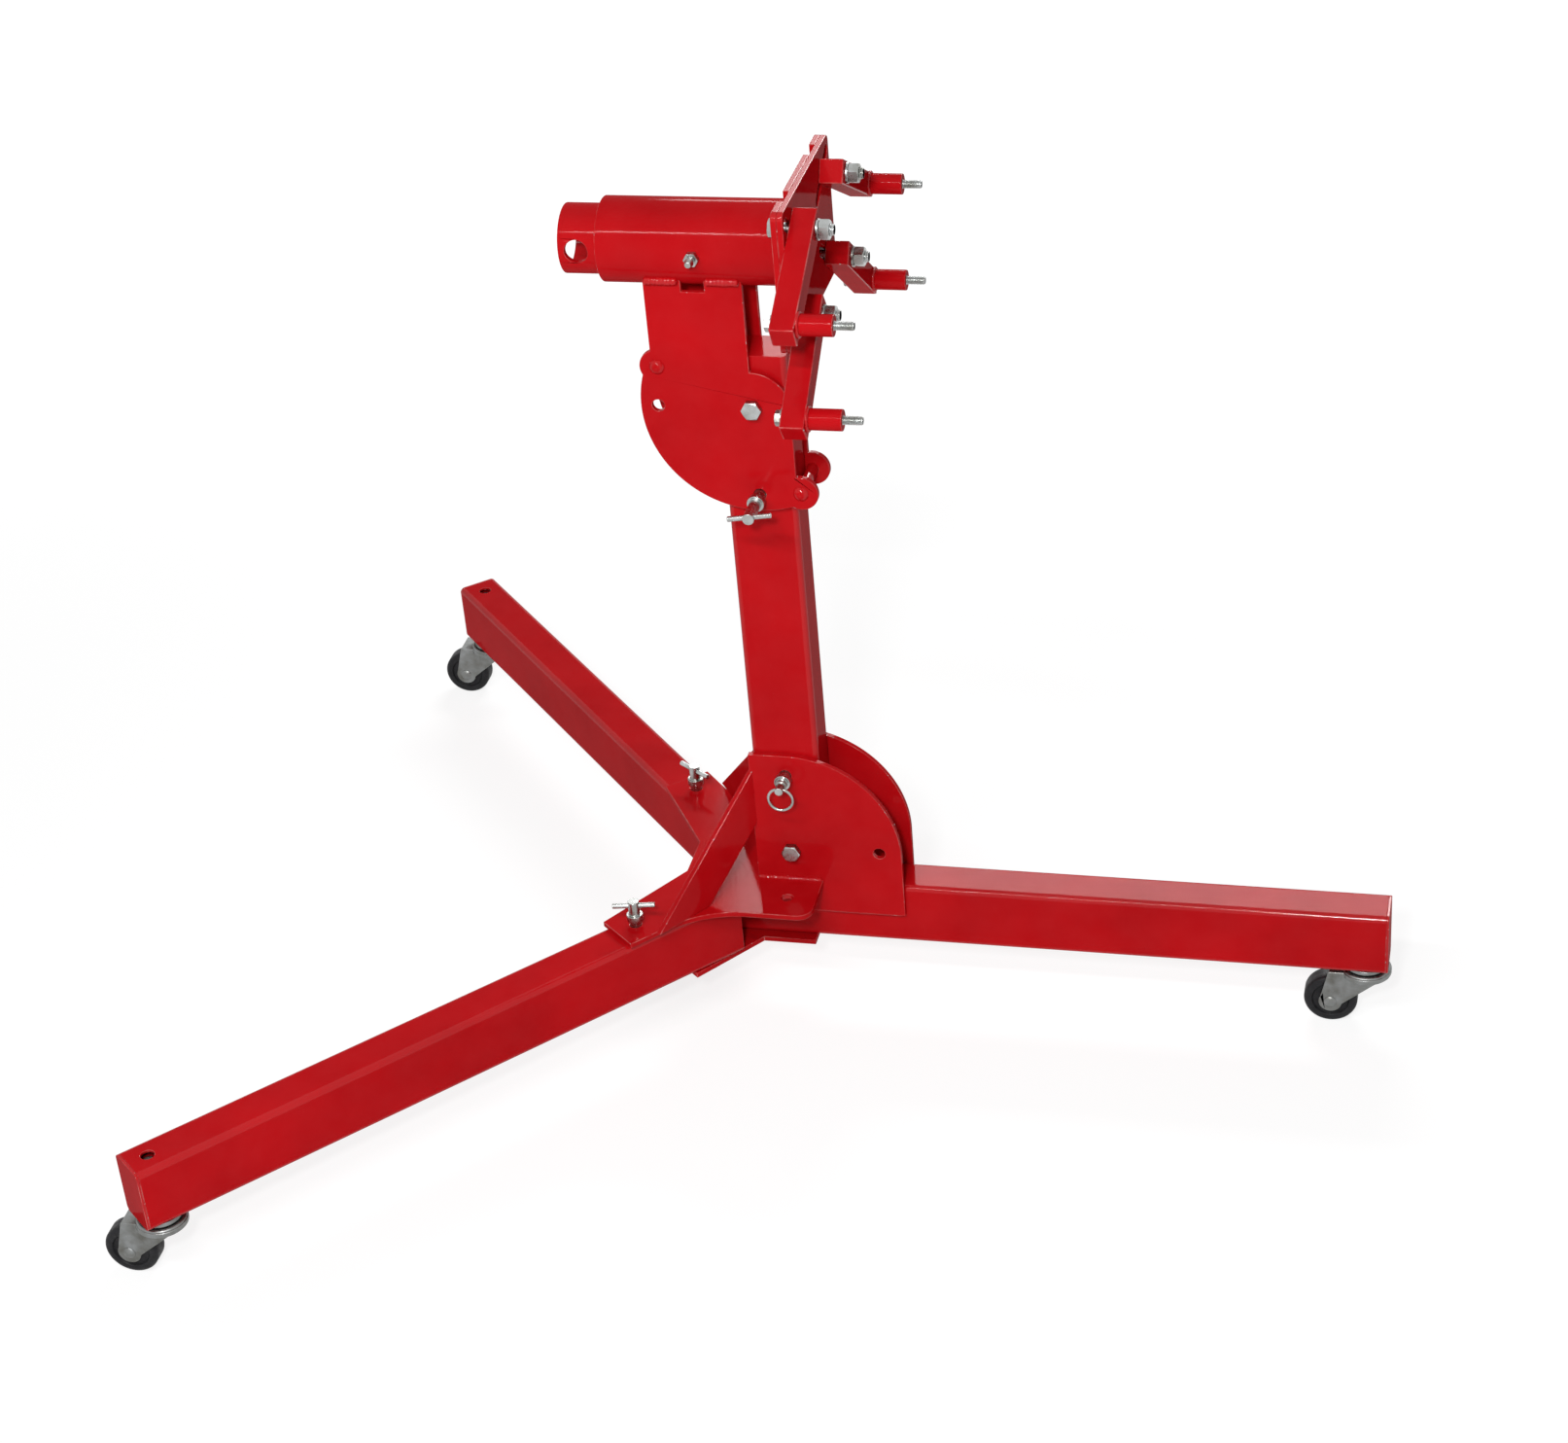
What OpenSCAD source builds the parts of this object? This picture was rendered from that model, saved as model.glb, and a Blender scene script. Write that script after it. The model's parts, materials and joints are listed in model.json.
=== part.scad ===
// Engine stand: folding three-legged base on casters, hinged mast, tilting head
// and a turning plate with four adjustable arms.
// X runs along the front leg, Y across the stand, Z up. The floor is at Z = 0.

/* [Leg tubes] */
// Width of the leg tubes
leg_width = 50.8; // [44:0.1:60]
// Height of the leg tubes
leg_height = 76.2; // [66:0.1:90]
// Wall of the leg and mast tubes
tube_wall = 3.2; // [2:0.1:4.5]
// Outer corner radius of the leg and mast tubes
tube_corner = 6.35; // [5:0.05:9]
// From the mast's centre to the front leg's outer end
front_reach = 669; // [600:1:760]
// From the mast's centre back to the front leg's inner end
front_back = 120.65; // [112:0.05:126]
// Angle between a rear leg and the front leg
leg_splay = 132; // [124:1:138]
// From a rear leg's pivot to its outer end
rear_reach = 729.5; // [640:0.5:820]
// From a rear leg's pivot to its inner end
rear_inner = 28.6; // [22:0.1:32]
// Play between a rear leg and the plates above and below it
leg_play = 0.3; // [0.2:0.05:0.8]
// Thickness of the flat caps that close the leg ends
cap_thick = 3; // [2:0.1:5]

/* [Base plates] */
// Thickness of the base and head plates
plate_thick = 6.35; // [5:0.05:8]
// Radius of the quarter-round side plates
side_radius = 127; // [120:0.5:140]
// From the mast's centre back to the side plates' rear edge
side_back = 41.3; // [40:0.1:48]
// How far the side plates reach down the front leg's sides
side_lap = 36; // [25:0.5:55]
// Fold angle at which the side plates' second lock hole serves
fold_lock = 88; // [80:1:90]
// From the mast's centre back to a rear leg's pivot
leg_pivot_back = 95; // [90:0.5:100]
// From the centre line out to a rear leg's pivot
leg_pivot_side = 69.85; // [68:0.05:76]
// From a rear leg's pivot to its lock hole
leg_lock_radius = 95.25; // [85:0.05:102]
// From a rear leg's pivot to the end of the top plate's wing
wing_reach = 120.65; // [114:0.05:130]
// Width of the top plate's wings
wing_width = 57.2; // [54:0.1:64]
// From the mast's centre back to the plates' rear edge
crotch_back = 127; // [127:0.5:134]
// Half length of the plates' rear edge
crotch_half = 30; // [26:0.5:36]
// From the mast's centre to the end of the top plate's side tabs
tab_front = 34; // [28:0.5:45]
// From the centre line to the outer edge of the side tabs
tab_side = 104; // [100:0.5:112]
// Corner radius of the side tabs
tab_corner = 17; // [10:0.5:19]
// Radius of the top plate's hollow edge between wing and tab
knee_round = 110; // [60:1:150]
// From a rear leg's pivot to the end of the bottom plate's wing
under_reach = 38; // [30:0.5:46]
// From the mast's centre to the front end of the bottom plate
under_front = 20; // [10:0.5:40]
// Half width of the bottom plate along the front leg
under_half = 35; // [30:0.5:40]
// Width of the flat gusset bars
gusset_width = 50.8; // [40:0.1:60]
// Slope of the gusset bars
gusset_slope = 43; // [38:1:48]
// Plan angle of the gusset bars from the front leg's line
gusset_plan = 55; // [52:1:58]
// From the side plate's rear edge to the foot of a gusset
gusset_foot = 152; // [145:0.5:158]

/* [Mast] */
// Depth of the mast tube along the front leg
mast_depth = 76.2; // [66:0.1:80]
// Play between the mast and the side plates
mast_play = 0.4; // [0.2:0.05:0.8]
// Height of the mast's pivot above the leg tops
mast_pivot_rise = 44.45; // [44:0.05:50]
// Mast below its pivot
mast_below = 20; // [14:0.5:21]
// From the mast's pivot to the head's pivot
mast_length = 558.8; // [500:0.1:650]
// Mast above the head's pivot
mast_above = 57.15; // [45:0.05:70]
// Radius from each pivot to its lock holes
lock_radius = 101.6; // [96:0.1:106]

/* [Head] */
// Play between a head plate and the mast
head_play = 0.9; // [0.8:0.05:1.4]
// Radius of the head plates' round lower edge
head_radius = 120.65; // [117:0.05:128]
// Head plates' rear edge behind the pivot
head_back = 105; // [98:0.5:112]
// Radius of the head plates' front shoulder
head_shoulder = 41; // [38:0.5:43]
// Height of the tube's axis above the head's pivot
tube_rise = 174.6; // [165:0.1:190]
// Diameter of the stop rods
stop_dia = 12.7; // [10:0.1:16]
// Distance of the stop rods from the pivot along the mast
stop_reach = 99; // [94:0.5:104]
// Gap between a stop rod and the mast's face at its limit
stop_gap = 0.3; // [0.2:0.05:0.8]
// Radius of the plate's lobe round a stop rod
stop_lobe = 19; // [15:0.5:22]
// Diameter of a stop rod's domed end
stop_head = 17; // [14:0.1:20]
// How far a stop rod's domed end stands out
stop_dome = 5; // [3:0.1:7]
// Outer diameter of the fixed tube
sleeve_dia = 88.9; // [85:0.1:96]
// Fixed tube behind the mast's centre
sleeve_back = 149; // [135:0.5:165]
// Fixed tube in front of the mast's centre
sleeve_front = 52.5; // [48:0.1:53.5]
// Relief in a head plate's top edge: width
relief_width = 25; // [18:0.5:34]
// Relief in a head plate's top edge: depth below the tube's side
relief_depth = 13; // [8:0.5:20]
// Relief's centre behind the pivot
relief_back = 52.5; // [45:0.5:60]
// Grease fitting behind the mast's centre
fitting_back = 46; // [35:0.5:70]
// Grease fitting: width across flats
fitting_flats = 14; // [11:0.1:17]
// Grease fitting: height of its hexagon
fitting_hex = 7; // [5:0.1:9]
// Grease fitting: diameter of its neck
neck_dia = 7; // [5:0.1:8]
// Grease fitting: height of its neck
neck_height = 3.5; // [2:0.1:5]
// Grease fitting: diameter of its nozzle
nozzle_dia = 10; // [8.5:0.1:12]
// Grease fitting: height of its nozzle
nozzle_height = 8; // [6:0.1:10]
// Grease fitting: diameter of its tip
tip_dia = 6.5; // [4:0.1:8]

/* [Turning plate] */
// Outer diameter of the turning tube
spindle_dia = 73; // [68:0.1:76]
// Wall of the turning tube
spindle_wall = 6.4; // [4:0.1:9]
// Turning tube behind the mast's centre
spindle_back = 191; // [182:0.5:210]
// Diameter of the hole for the turning bar
bar_hole = 25; // [18:0.5:30]
// Turning-bar hole in from the tube's end
bar_hole_inset = 19.5; // [17:0.5:24]
// Radial running clearance of turning and hinged fits
running_play = 0.08; // [0.05:0.01:0.1]
// From the mast's centre to the rear of the backing plate
backing_face = 55.3; // [54.3:0.1:61]
// Thickness of the slotted front plate
mount_thick = 6.35; // [5:0.05:9]
// Width of the turning plate
mount_width = 214; // [206:1:226]
// Height of the turning plate
mount_height = 152.4; // [146:0.1:160]
// Corner radius of the turning plate
mount_corner = 8; // [4:0.5:10]
// From the plate's centre to a slot's inner end
slot_inner = 50; // [48:0.5:54]
// From the turning plate's side edge to the centre of a slot's outer end
slot_side_margin = 12; // [11:0.5:15]
// From the turning plate's top or bottom edge to the centre of a slot's outer end
slot_end_margin = 15; // [12:0.1:18]
// Width of the open channel behind a slot
channel_width = 15; // [14.5:0.1:17]
// From the plate's centre line out to the middle of an entry notch
entry_side = 61; // [58:0.5:64]
// Width of the entry notches in the backing plate's top and bottom edges
entry_width = 27; // [22:0.5:30]
// From a slot's outer end in to its clamp bolt
clamp_inset = 27.2; // [26:0.1:30]

/* [Arms] */
// Side of the square arm bar
arm_side = 25.4; // [23:0.1:27]
// From an arm's clamp bolt to its engine bolt
arm_span = 117.4; // [112:0.1:122]
// Bar beyond each of its bolts
arm_end = 17.5; // [15:0.5:20]
// Downward angle of the upper arms
upper_angle = 28; // [24:1:34]
// Downward angle of the lower arms
lower_angle = 36; // [32:1:42]
// Gap between the arms and the plate or washer beside them
arm_gap = 0.3; // [0.2:0.05:0.6]
// Outer diameter of the standoff tubes
standoff_dia = 22.2; // [19:0.1:25]
// Length of the standoff tubes
standoff_length = 36; // [25:0.5:50]
// Diameter of the engine bolts
engine_bolt = 9.525; // [8:0.005:11]
// Width across flats of the engine bolts' heads
engine_flats = 14.3; // [12:0.1:16]
// Height of the engine bolts' heads
engine_head = 6.1; // [5:0.1:7]
// Diameter of the engine bolts' washers
engine_washer = 20.6; // [17:0.1:22]
// Thickness of the engine bolts' washers
engine_washer_thick = 1.65; // [1.2:0.05:2.5]
// Diameter over the engine bolts' threaded ends
engine_thread = 9.26; // [7.5:0.01:9.45]
// Length of the relief behind an engine bolt's thread
thread_relief = 2; // [1:0.1:3]
// Diameter of the relief behind an engine bolt's thread
relief_dia = 8; // [7:0.1:8.5]
// Engine bolt standing out of its standoff
engine_bolt_out = 20; // [12:0.5:26]

/* [Bolts and pins] */
// Diameter of the pivot and clamp bolts
bolt_dia = 12.7; // [11:0.1:13.5]
// Width across flats of their heads and nuts
bolt_flats = 19.05; // [18:0.05:20]
// Height of their heads
bolt_head = 8; // [6.5:0.1:9.5]
// Height of their nuts
nut_height = 11; // [9:0.1:12.5]
// Bolt end past its nut
bolt_past = 4; // [2:0.1:7]
// Thickness of the clamp bolts' washers
washer_thick = 2.5; // [1.5:0.1:3.5]
// Diameter of the washers under the clamp bolts' nuts
washer_dia = 22; // [20:0.1:24]
// Diameter of the washers behind the turning plate
backing_washer = 27; // [24:0.1:28]
// Diameter of the lock pins
pin_dia = 12.7; // [11:0.1:14]
// Gap between pieces of one fastener
fastener_gap = 0.05; // [0.03:0.01:0.1]
// Radial play of a lock pin in its holes
pin_play = 0.4; // [0.2:0.05:0.8]
// Collar diameter of the lock pins
collar_dia = 18.5; // [17:0.1:22]
// Collar thickness of the lock pins
collar_thick = 8; // [5:0.1:10]
// Gap between a drawn pin's tip and the part it locks
pin_clear = 0.6; // [0.4:0.05:1]
// Travel of the mast's lock pin
mast_pin_travel = 8; // [6:0.1:12]
// Mast pin from collar face to outer end
mast_pin_out = 26; // [22:0.5:34]
// Travel of the head's lock pin
head_pin_travel = 14; // [8:0.1:18]
// Head pin from collar face to outer end
head_pin_out = 42; // [32:0.5:50]
// Travel of the leg lock pins
leg_pin_travel = 6.5; // [5.5:0.1:8]
// Leg pin from collar face to outer end
leg_pin_out = 25; // [22:0.5:32]
// Length of a lock pin's cross bar
bar_length = 48; // [40:0.5:56]
// Diameter of a lock pin's cross bar
bar_dia = 6; // [5:0.1:7]
// Cross bar in from the pin's outer end
bar_inset = 6; // [5:0.1:7.5]
// Turn of the head pin's cross bar
head_bar_turn = 8; // [-90:1:90]
// Turn of the near leg pin's cross bar
near_bar_turn = 10; // [-90:1:90]
// Turn of the far leg pin's cross bar
far_bar_turn = -35; // [-90:1:90]
// Outer diameter of the pull ring
ring_dia = 31; // [28:0.5:36]
// Wire of the pull ring
ring_wire = 3.2; // [2.6:0.1:3.5]
// Diameter of the mast pin's ringed end
ring_end_dia = 9.5; // [9:0.1:10.5]
// Cross hole for the pull ring
ring_hole = 5.2; // [5:0.1:5.6]

/* [Casters] */
// Height of the leg undersides above the floor
caster_height = 79; // [76:0.5:90]
// Wheel diameter
wheel_dia = 60; // [52:0.5:64]
// Wheel width
wheel_width = 24; // [20:0.5:27]
// Rounding of the wheel's tread edges
tread_round = 5; // [2:0.5:7]
// From the swivel's centre back to the wheel's axle
caster_trail = 38; // [35:0.5:41]
// Swivel's centre in from a leg's end
caster_inset = 25.5; // [23:0.5:30]
// Diameter of the swivel race
race_dia = 47; // [44:0.5:50]
// Height of the swivel race
race_height = 8; // [6:0.1:9]
// How far the swivel race draws in to its lower edge
race_taper = 4; // [2:0.1:6]
// How far the swivel race draws in to its upper edge
race_lip = 1; // [0.5:0.1:2]
// Swivel stem diameter
stem_dia = 12; // [10:0.1:13]
// Access hole over a rear stem
access_hole = 15; // [13.5:0.1:18]
// Sheet thickness of the fork
fork_sheet = 2.6; // [2:0.1:3.2]
// Gap between wheel and fork cheek
cheek_gap = 1.5; // [0.8:0.1:2.5]
// Radius of the fork's crown
crown_radius = 28.5; // [27.5:0.1:30]
// Depth of the fork crown's turned-down rim
crown_skirt = 6; // [4.5:0.1:7.5]
// Radius of a fork cheek round the axle
cheek_round = 13; // [11:0.1:15]
// From the axle's centre to a fork cheek's lower edge
cheek_waist = 10; // [8:0.1:10.5]
// Angle below level at which that distance is measured
cheek_slope = 45; // [35:1:55]
// Axle diameter
axle_dia = 9; // [8:0.1:11]
// Diameter of the axle's domed heads
axle_head = 15; // [13:0.1:17]
// Height of the axle's domed heads
axle_dome = 3; // [2:0.1:4]

/* [Hidden] */
$fn = 64;
fine = 128;
wire_fine = 24;
hex_sides = 6;
half_flat = 180 / hex_sides;
eps = 0.01;
over = 1;

paint = [0.74, 0.05, 0.07];
zinc = [0.72, 0.74, 0.76];
black = [0.1, 0.1, 0.11];
near = -1;
far = 1;
up = 1;
down = -1;

leg_top = caster_height + leg_height;
mast_pivot_z = leg_top + mast_pivot_rise;
head_pivot_z = mast_pivot_z + mast_length;
tube_z = head_pivot_z + tube_rise;
mast_width = leg_width - 2 * mast_play;
side_inner = leg_width / 2;
side_outer = side_inner + plate_thick;
head_inner = mast_width / 2 + head_play;
head_outer = head_inner + plate_thick;
hinge_hole = bolt_dia + 2 * running_play;
pin_hole = pin_dia + 2 * pin_play;
stop_side = mast_depth / 2 + stop_dia / 2 + stop_gap;
sleeve_bore = spindle_dia + 2 * running_play;
mount_back = backing_face + plate_thick;
mount_face = mount_back + mount_thick;
slot_width = bolt_dia + 2 * pin_play;
slot_end = [mount_width / 2 - slot_side_margin, mount_height / 2 - slot_end_margin];
slot_angle = atan(slot_end[1] / slot_end[0]);
slot_outer = norm(slot_end);
clamp_radius = slot_outer - clamp_inset;
arm_back = mount_face + arm_gap;
arm_front = arm_back + arm_side;
plate_top = leg_top + plate_thick;

rear_height = leg_height - 2 * leg_play;
rear_dir = [-cos(180 - leg_splay), sin(180 - leg_splay)];
rear_stem = rear_reach - caster_inset;
front_stem_x = front_reach - caster_inset;
rear_stem_x = -leg_pivot_back + rear_dir[0] * rear_stem;
wheel_r = wheel_dia / 2;
x_low = rear_stem_x - caster_trail - wheel_r;
x_high = max(front_reach, front_stem_x + crown_radius);
x_mid = (x_low + x_high) / 2;

// Bar of rounded rectangular section along Z, centred on its axis
module round_bar(size_x, size_y, radius, length) {
  translate([-size_x / 2 + radius, -size_y / 2, 0]) cube([size_x - 2 * radius, size_y, length]);
  translate([-size_x / 2, -size_y / 2 + radius, 0]) cube([size_x, size_y - 2 * radius, length]);
  for (sx = [-1, 1], sy = [-1, 1])
    translate([sx * (size_x / 2 - radius), sy * (size_y / 2 - radius), 0]) cylinder(r = radius, h = length);
}

// Rectangular tube along Z, open at both ends
module round_tube(size_x, size_y, length) {
  inner_corner = max(tube_corner - tube_wall, over);
  difference() {
    round_bar(size_x, size_y, tube_corner, length);
    translate([0, 0, -over])
      round_bar(size_x - 2 * tube_wall, size_y - 2 * tube_wall, inner_corner, length + 2 * over);
  }
}

// Cylinder across the stand from y0 to y1
module cross_rod(dia, y0, y1) {
  translate([0, y0, 0]) rotate([-90, 0, 0]) cylinder(d = dia, h = y1 - y0);
}

// Plate standing across Y, drawn from an outline in X and Z
module upright(y0, thick) {
  translate([0, y0 + thick, 0]) rotate([90, 0, 0]) linear_extrude(height = thick) children();
}

module hex_solid(flats, height) {
  cylinder(d = flats / cos(half_flat), h = height, $fn = hex_sides);
}

module frame() {
  translate([-x_mid, 0, 0]) children();
}

// Moves a rear leg, drawn along +X from its pivot, to its open place
module at_rear(side) {
  translate([-leg_pivot_back, side * leg_pivot_side, 0]) rotate([0, 0, side * leg_splay]) children();
}

module at_head() {
  translate([0, 0, head_pivot_z]) children();
}

module at_mast() {
  translate([0, 0, mast_pivot_z]) children();
}

// Front leg, the spine that the base plates are welded to
module leg_tube(x0, x1, height, z0) {
  translate([x0, 0, z0 + height / 2]) rotate([0, 90, 0]) round_tube(height, leg_width, x1 - x0);
}

module leg_cap(x1, height, z0) {
  translate([x1 - cap_thick, 0, z0 + height / 2]) rotate([0, 90, 0])
    round_bar(height, leg_width, tube_corner, cap_thick);
}

module front_leg() {
  color(paint) frame() difference() {
    leg_tube(-front_back, front_reach - cap_thick, leg_height, caster_height);
    translate([front_stem_x, 0, caster_height - over]) cylinder(d = stem_dia, h = tube_wall + 2 * over);
  }
}

module front_leg_cap() {
  color(paint) frame() leg_cap(front_reach, leg_height, caster_height);
}

// Rear leg with its pivot holes, lock hole, stem hole and access hole
module rear_leg(side) {
  color(paint) frame() at_rear(side) difference() {
    leg_tube(-rear_inner, rear_reach - cap_thick, rear_height, caster_height + leg_play);
    translate([0, 0, caster_height - over]) cylinder(d = hinge_hole, h = leg_height + 2 * over);
    translate([leg_lock_radius, 0, leg_top - leg_play - tube_wall - over])
      cylinder(d = pin_hole, h = tube_wall + 2 * over);
    translate([rear_stem, 0, caster_height - over])
      cylinder(d = stem_dia, h = tube_wall + leg_play + 2 * over);
    translate([rear_stem, 0, leg_top - leg_play - tube_wall - over])
      cylinder(d = access_hole, h = tube_wall + 2 * over);
  }
}

module rear_leg_cap(side) {
  color(paint) frame() at_rear(side) leg_cap(rear_reach, rear_height, caster_height + leg_play);
}

module near_leg() { rear_leg(near); }
module far_leg() { rear_leg(far); }
module near_leg_cap() { rear_leg_cap(near); }
module far_leg_cap() { rear_leg_cap(far); }

// Quarter-round side plate, drawn about the mast's pivot
module side_outline() {
  low = leg_top - side_lap - mast_pivot_z;
  difference() {
    union() {
      intersection() {
        circle(r = side_radius, $fn = fine);
        square([side_radius + over, side_radius + over]);
      }
      translate([-side_back, 0]) square([side_back, side_radius]);
      translate([-side_back, low]) square([side_back + side_radius, -low]);
    }
    circle(d = hinge_hole);
    translate([0, lock_radius]) circle(d = pin_hole);
    rotate(-fold_lock) translate([0, lock_radius]) circle(d = pin_hole);
  }
}

module side_plate(side) {
  y0 = side == near ? -side_outer : side_inner;
  color(paint) frame() at_mast() upright(y0, plate_thick) side_outline();
}

module near_side_plate() { side_plate(near); }
module far_side_plate() { side_plate(far); }

// Outline on both sides of the centre line, from its points on the +Y side
function both_sides(half) = concat(half, [for (i = [len(half) - 1:-1:0]) [half[i][0], -half[i][1]]]);

leg_pivot = [-leg_pivot_back, leg_pivot_side];
wing_end = leg_pivot + wing_reach * rear_dir;
wing_across = wing_width / 2 * [-rear_dir[1], rear_dir[0]];
wing_outer = wing_end - wing_across;
knee = wing_outer - (wing_outer[1] - tab_side) / rear_dir[1] * rear_dir;
knee_blend = knee_round / tan(leg_splay / 2);
knee_middle = knee + knee_round / sin(leg_splay / 2) * [cos(leg_splay / 2), sin(leg_splay / 2)];
top_half = [[-crotch_back, crotch_half], wing_end + wing_across, wing_outer, knee + knee_blend * rear_dir,
  knee_middle, knee + [knee_blend, 0], [tab_front, tab_side], [tab_front, side_outer],
  [-side_back, side_outer]];

// Top plate: a wing over each rear leg, a tab beside each side plate, a notch for the mast
module top_plate() {
  color(paint) frame() translate([0, 0, leg_top]) linear_extrude(height = plate_thick) difference() {
    polygon(both_sides(top_half));
    for (side = [near, far]) {
      translate([tab_front - tab_corner, side * (tab_side - tab_corner)]) difference() {
        translate([0, side == near ? -tab_corner - over : 0]) square(tab_corner + over);
        circle(r = tab_corner);
      }
      translate([knee_middle[0], side * knee_middle[1]]) circle(r = knee_round, $fn = fine);
      translate([-leg_pivot_back, side * leg_pivot_side]) circle(d = hinge_hole);
      translate([-leg_pivot_back, side * leg_pivot_side])
        translate(leg_lock_radius * [rear_dir[0], side * rear_dir[1]]) circle(d = pin_hole);
      translate([-leg_pivot_back + leg_lock_radius, side * leg_pivot_side]) circle(d = pin_hole);
    }
  }
}

under_end = leg_pivot + under_reach * rear_dir;
under_across = leg_width / 2 * [-rear_dir[1], rear_dir[0]];
under_points = [[-crotch_back, crotch_half], under_end + under_across, under_end - under_across,
  [-side_back, under_half], [under_front, under_half]];

// Bottom plate under the three legs
module bottom_plate() {
  color(paint) frame() translate([0, 0, caster_height - plate_thick]) linear_extrude(height = plate_thick)
    difference() {
      polygon(both_sides(under_points));
      for (side = [near, far])
        translate([-leg_pivot_back, side * leg_pivot_side]) circle(d = hinge_hole);
    }
}

// Sloping flat bar from the wing's end up to the side plate's rear edge
module gusset(side) {
  rise = gusset_foot * tan(gusset_slope);
  heel = gusset_width / sin(gusset_slope);
  reach_in = plate_thick;
  lift = reach_in * tan(gusset_slope);
  drop = gusset_width / cos(gusset_slope);
  color(paint) frame() difference() {
    translate([-side_back, side * side_outer, plate_top]) rotate([0, 0, side * (180 - gusset_plan)])
      upright(-plate_thick / 2, plate_thick)
        polygon([[gusset_foot, 0], [-reach_in, rise + lift], [-reach_in, rise + lift - drop],
          [gusset_foot - heel, 0]]);
    translate([-side_back, -side_outer, leg_top]) cube([side_radius, 2 * side_outer, mast_length]);
    translate([-side_radius, -side_inner, leg_top]) cube([2 * side_radius, 2 * side_inner, mast_length]);
  }
}

module near_gusset() { gusset(near); }
module far_gusset() { gusset(far); }

// Hex bolt along +Y, its head's seat at y0 and its nut's seat at y1
module cross_bolt(y0, y1) {
  translate([0, y0, 0]) rotate([90, half_flat, 0]) hex_solid(bolt_flats, bolt_head);
  cross_rod(bolt_dia, y0 - eps, y1 + nut_height + bolt_past);
}

module cross_nut(y1) {
  difference() {
    translate([0, y1, 0]) rotate([-90, half_flat, 0]) hex_solid(bolt_flats, nut_height);
    cross_rod(bolt_dia + 2 * fastener_gap, y1 - over, y1 + nut_height + over);
  }
}

module mast_bolt() { color(zinc) frame() at_mast() cross_bolt(-side_outer, side_outer); }
module mast_nut() { color(zinc) frame() at_mast() cross_nut(side_outer); }
module head_bolt() { color(zinc) frame() at_head() cross_bolt(-head_outer, head_outer); }
module head_nut() { color(zinc) frame() at_head() cross_nut(head_outer); }

module leg_bolts() {
  low = caster_height - plate_thick - nut_height - bolt_past;
  color(zinc) frame() for (side = [near, far])
    translate([-leg_pivot_back, side * leg_pivot_side, 0]) {
      translate([0, 0, plate_top]) hex_solid(bolt_flats, bolt_head);
      translate([0, 0, low]) cylinder(d = bolt_dia, h = plate_top + eps - low);
    }
}

module leg_nuts() {
  seat = caster_height - plate_thick;
  color(zinc) frame() for (side = [near, far])
    translate([-leg_pivot_back, side * leg_pivot_side, seat - nut_height]) difference() {
      hex_solid(bolt_flats, nut_height);
      translate([0, 0, -over]) cylinder(d = bolt_dia + 2 * fastener_gap, h = nut_height + 2 * over);
    }
}

// Places a caster piece, drawn about its swivel, under a leg
module at_front() {
  frame() translate([front_stem_x, 0, 0]) children();
}

module at_rear_caster(side) {
  frame() translate([rear_stem_x, side * (leg_pivot_side + rear_stem * rear_dir[1]), 0]) children();
}

// Swivel stem and upper race of a caster, fixed under the leg whose underside is at seat
module stem_body(seat) {
  crown = caster_height - race_height;
  race = seat - crown - arm_gap;
  disc_top = crown - fork_sheet - arm_gap;
  translate([0, 0, crown + arm_gap]) rotate_extrude() polygon([[0, 0], [race_dia / 2 - race_taper, 0],
    [race_dia / 2, race / 2], [race_dia / 2 - race_lip, race], [0, race]]);
  translate([0, 0, disc_top - fork_sheet]) cylinder(d = stem_dia + 2 * fork_sheet, h = fork_sheet);
  translate([0, 0, disc_top - eps]) cylinder(d = stem_dia, h = leg_top - 2 * tube_wall - disc_top + eps);
}

module front_stem() { color(zinc) at_front() stem_body(caster_height); }
module near_stem() { color(zinc) at_rear_caster(near) stem_body(caster_height + leg_play); }
module far_stem() { color(zinc) at_rear_caster(far) stem_body(caster_height + leg_play); }

// Fork: crown disc, tongue and two cheeks down to the axle
module fork_body() {
  crown = caster_height - race_height - fork_sheet;
  inner = wheel_width / 2 + cheek_gap;
  outer = inner + fork_sheet;
  shoulder = sqrt(crown_radius * crown_radius - outer * outer) - fork_sheet;
  slope_x = cheek_waist * cos(cheek_slope);
  slope_z = cheek_waist * sin(cheek_slope);
  difference() {
    union() {
      translate([0, 0, crown]) cylinder(r = crown_radius, h = fork_sheet);
      translate([0, 0, crown + fork_sheet - crown_skirt]) difference() {
        cylinder(r = crown_radius, h = crown_skirt - eps);
        translate([0, 0, -over]) cylinder(r = crown_radius - fork_sheet, h = crown_skirt + 2 * over);
      }
      translate([-caster_trail - fork_sheet, -outer, crown])
        cube([caster_trail + fork_sheet, 2 * outer, fork_sheet]);
      for (side = [near, far])
        upright(side == near ? -outer : inner, fork_sheet) {
          translate([-caster_trail, wheel_r]) circle(r = cheek_round);
          polygon([[-caster_trail - cheek_round, wheel_r], [-caster_trail - fork_sheet, crown + fork_sheet],
            [shoulder, crown + fork_sheet], [shoulder, crown - fork_sheet],
            [-caster_trail + slope_x, wheel_r - slope_z], [-caster_trail, wheel_r]]);
        }
    }
    translate([0, 0, crown - over]) cylinder(d = stem_dia + 2 * running_play, h = fork_sheet + 2 * over);
    translate([-caster_trail, 0, wheel_r]) cross_rod(axle_dia, -outer - over, outer + over);
  }
}

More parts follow.
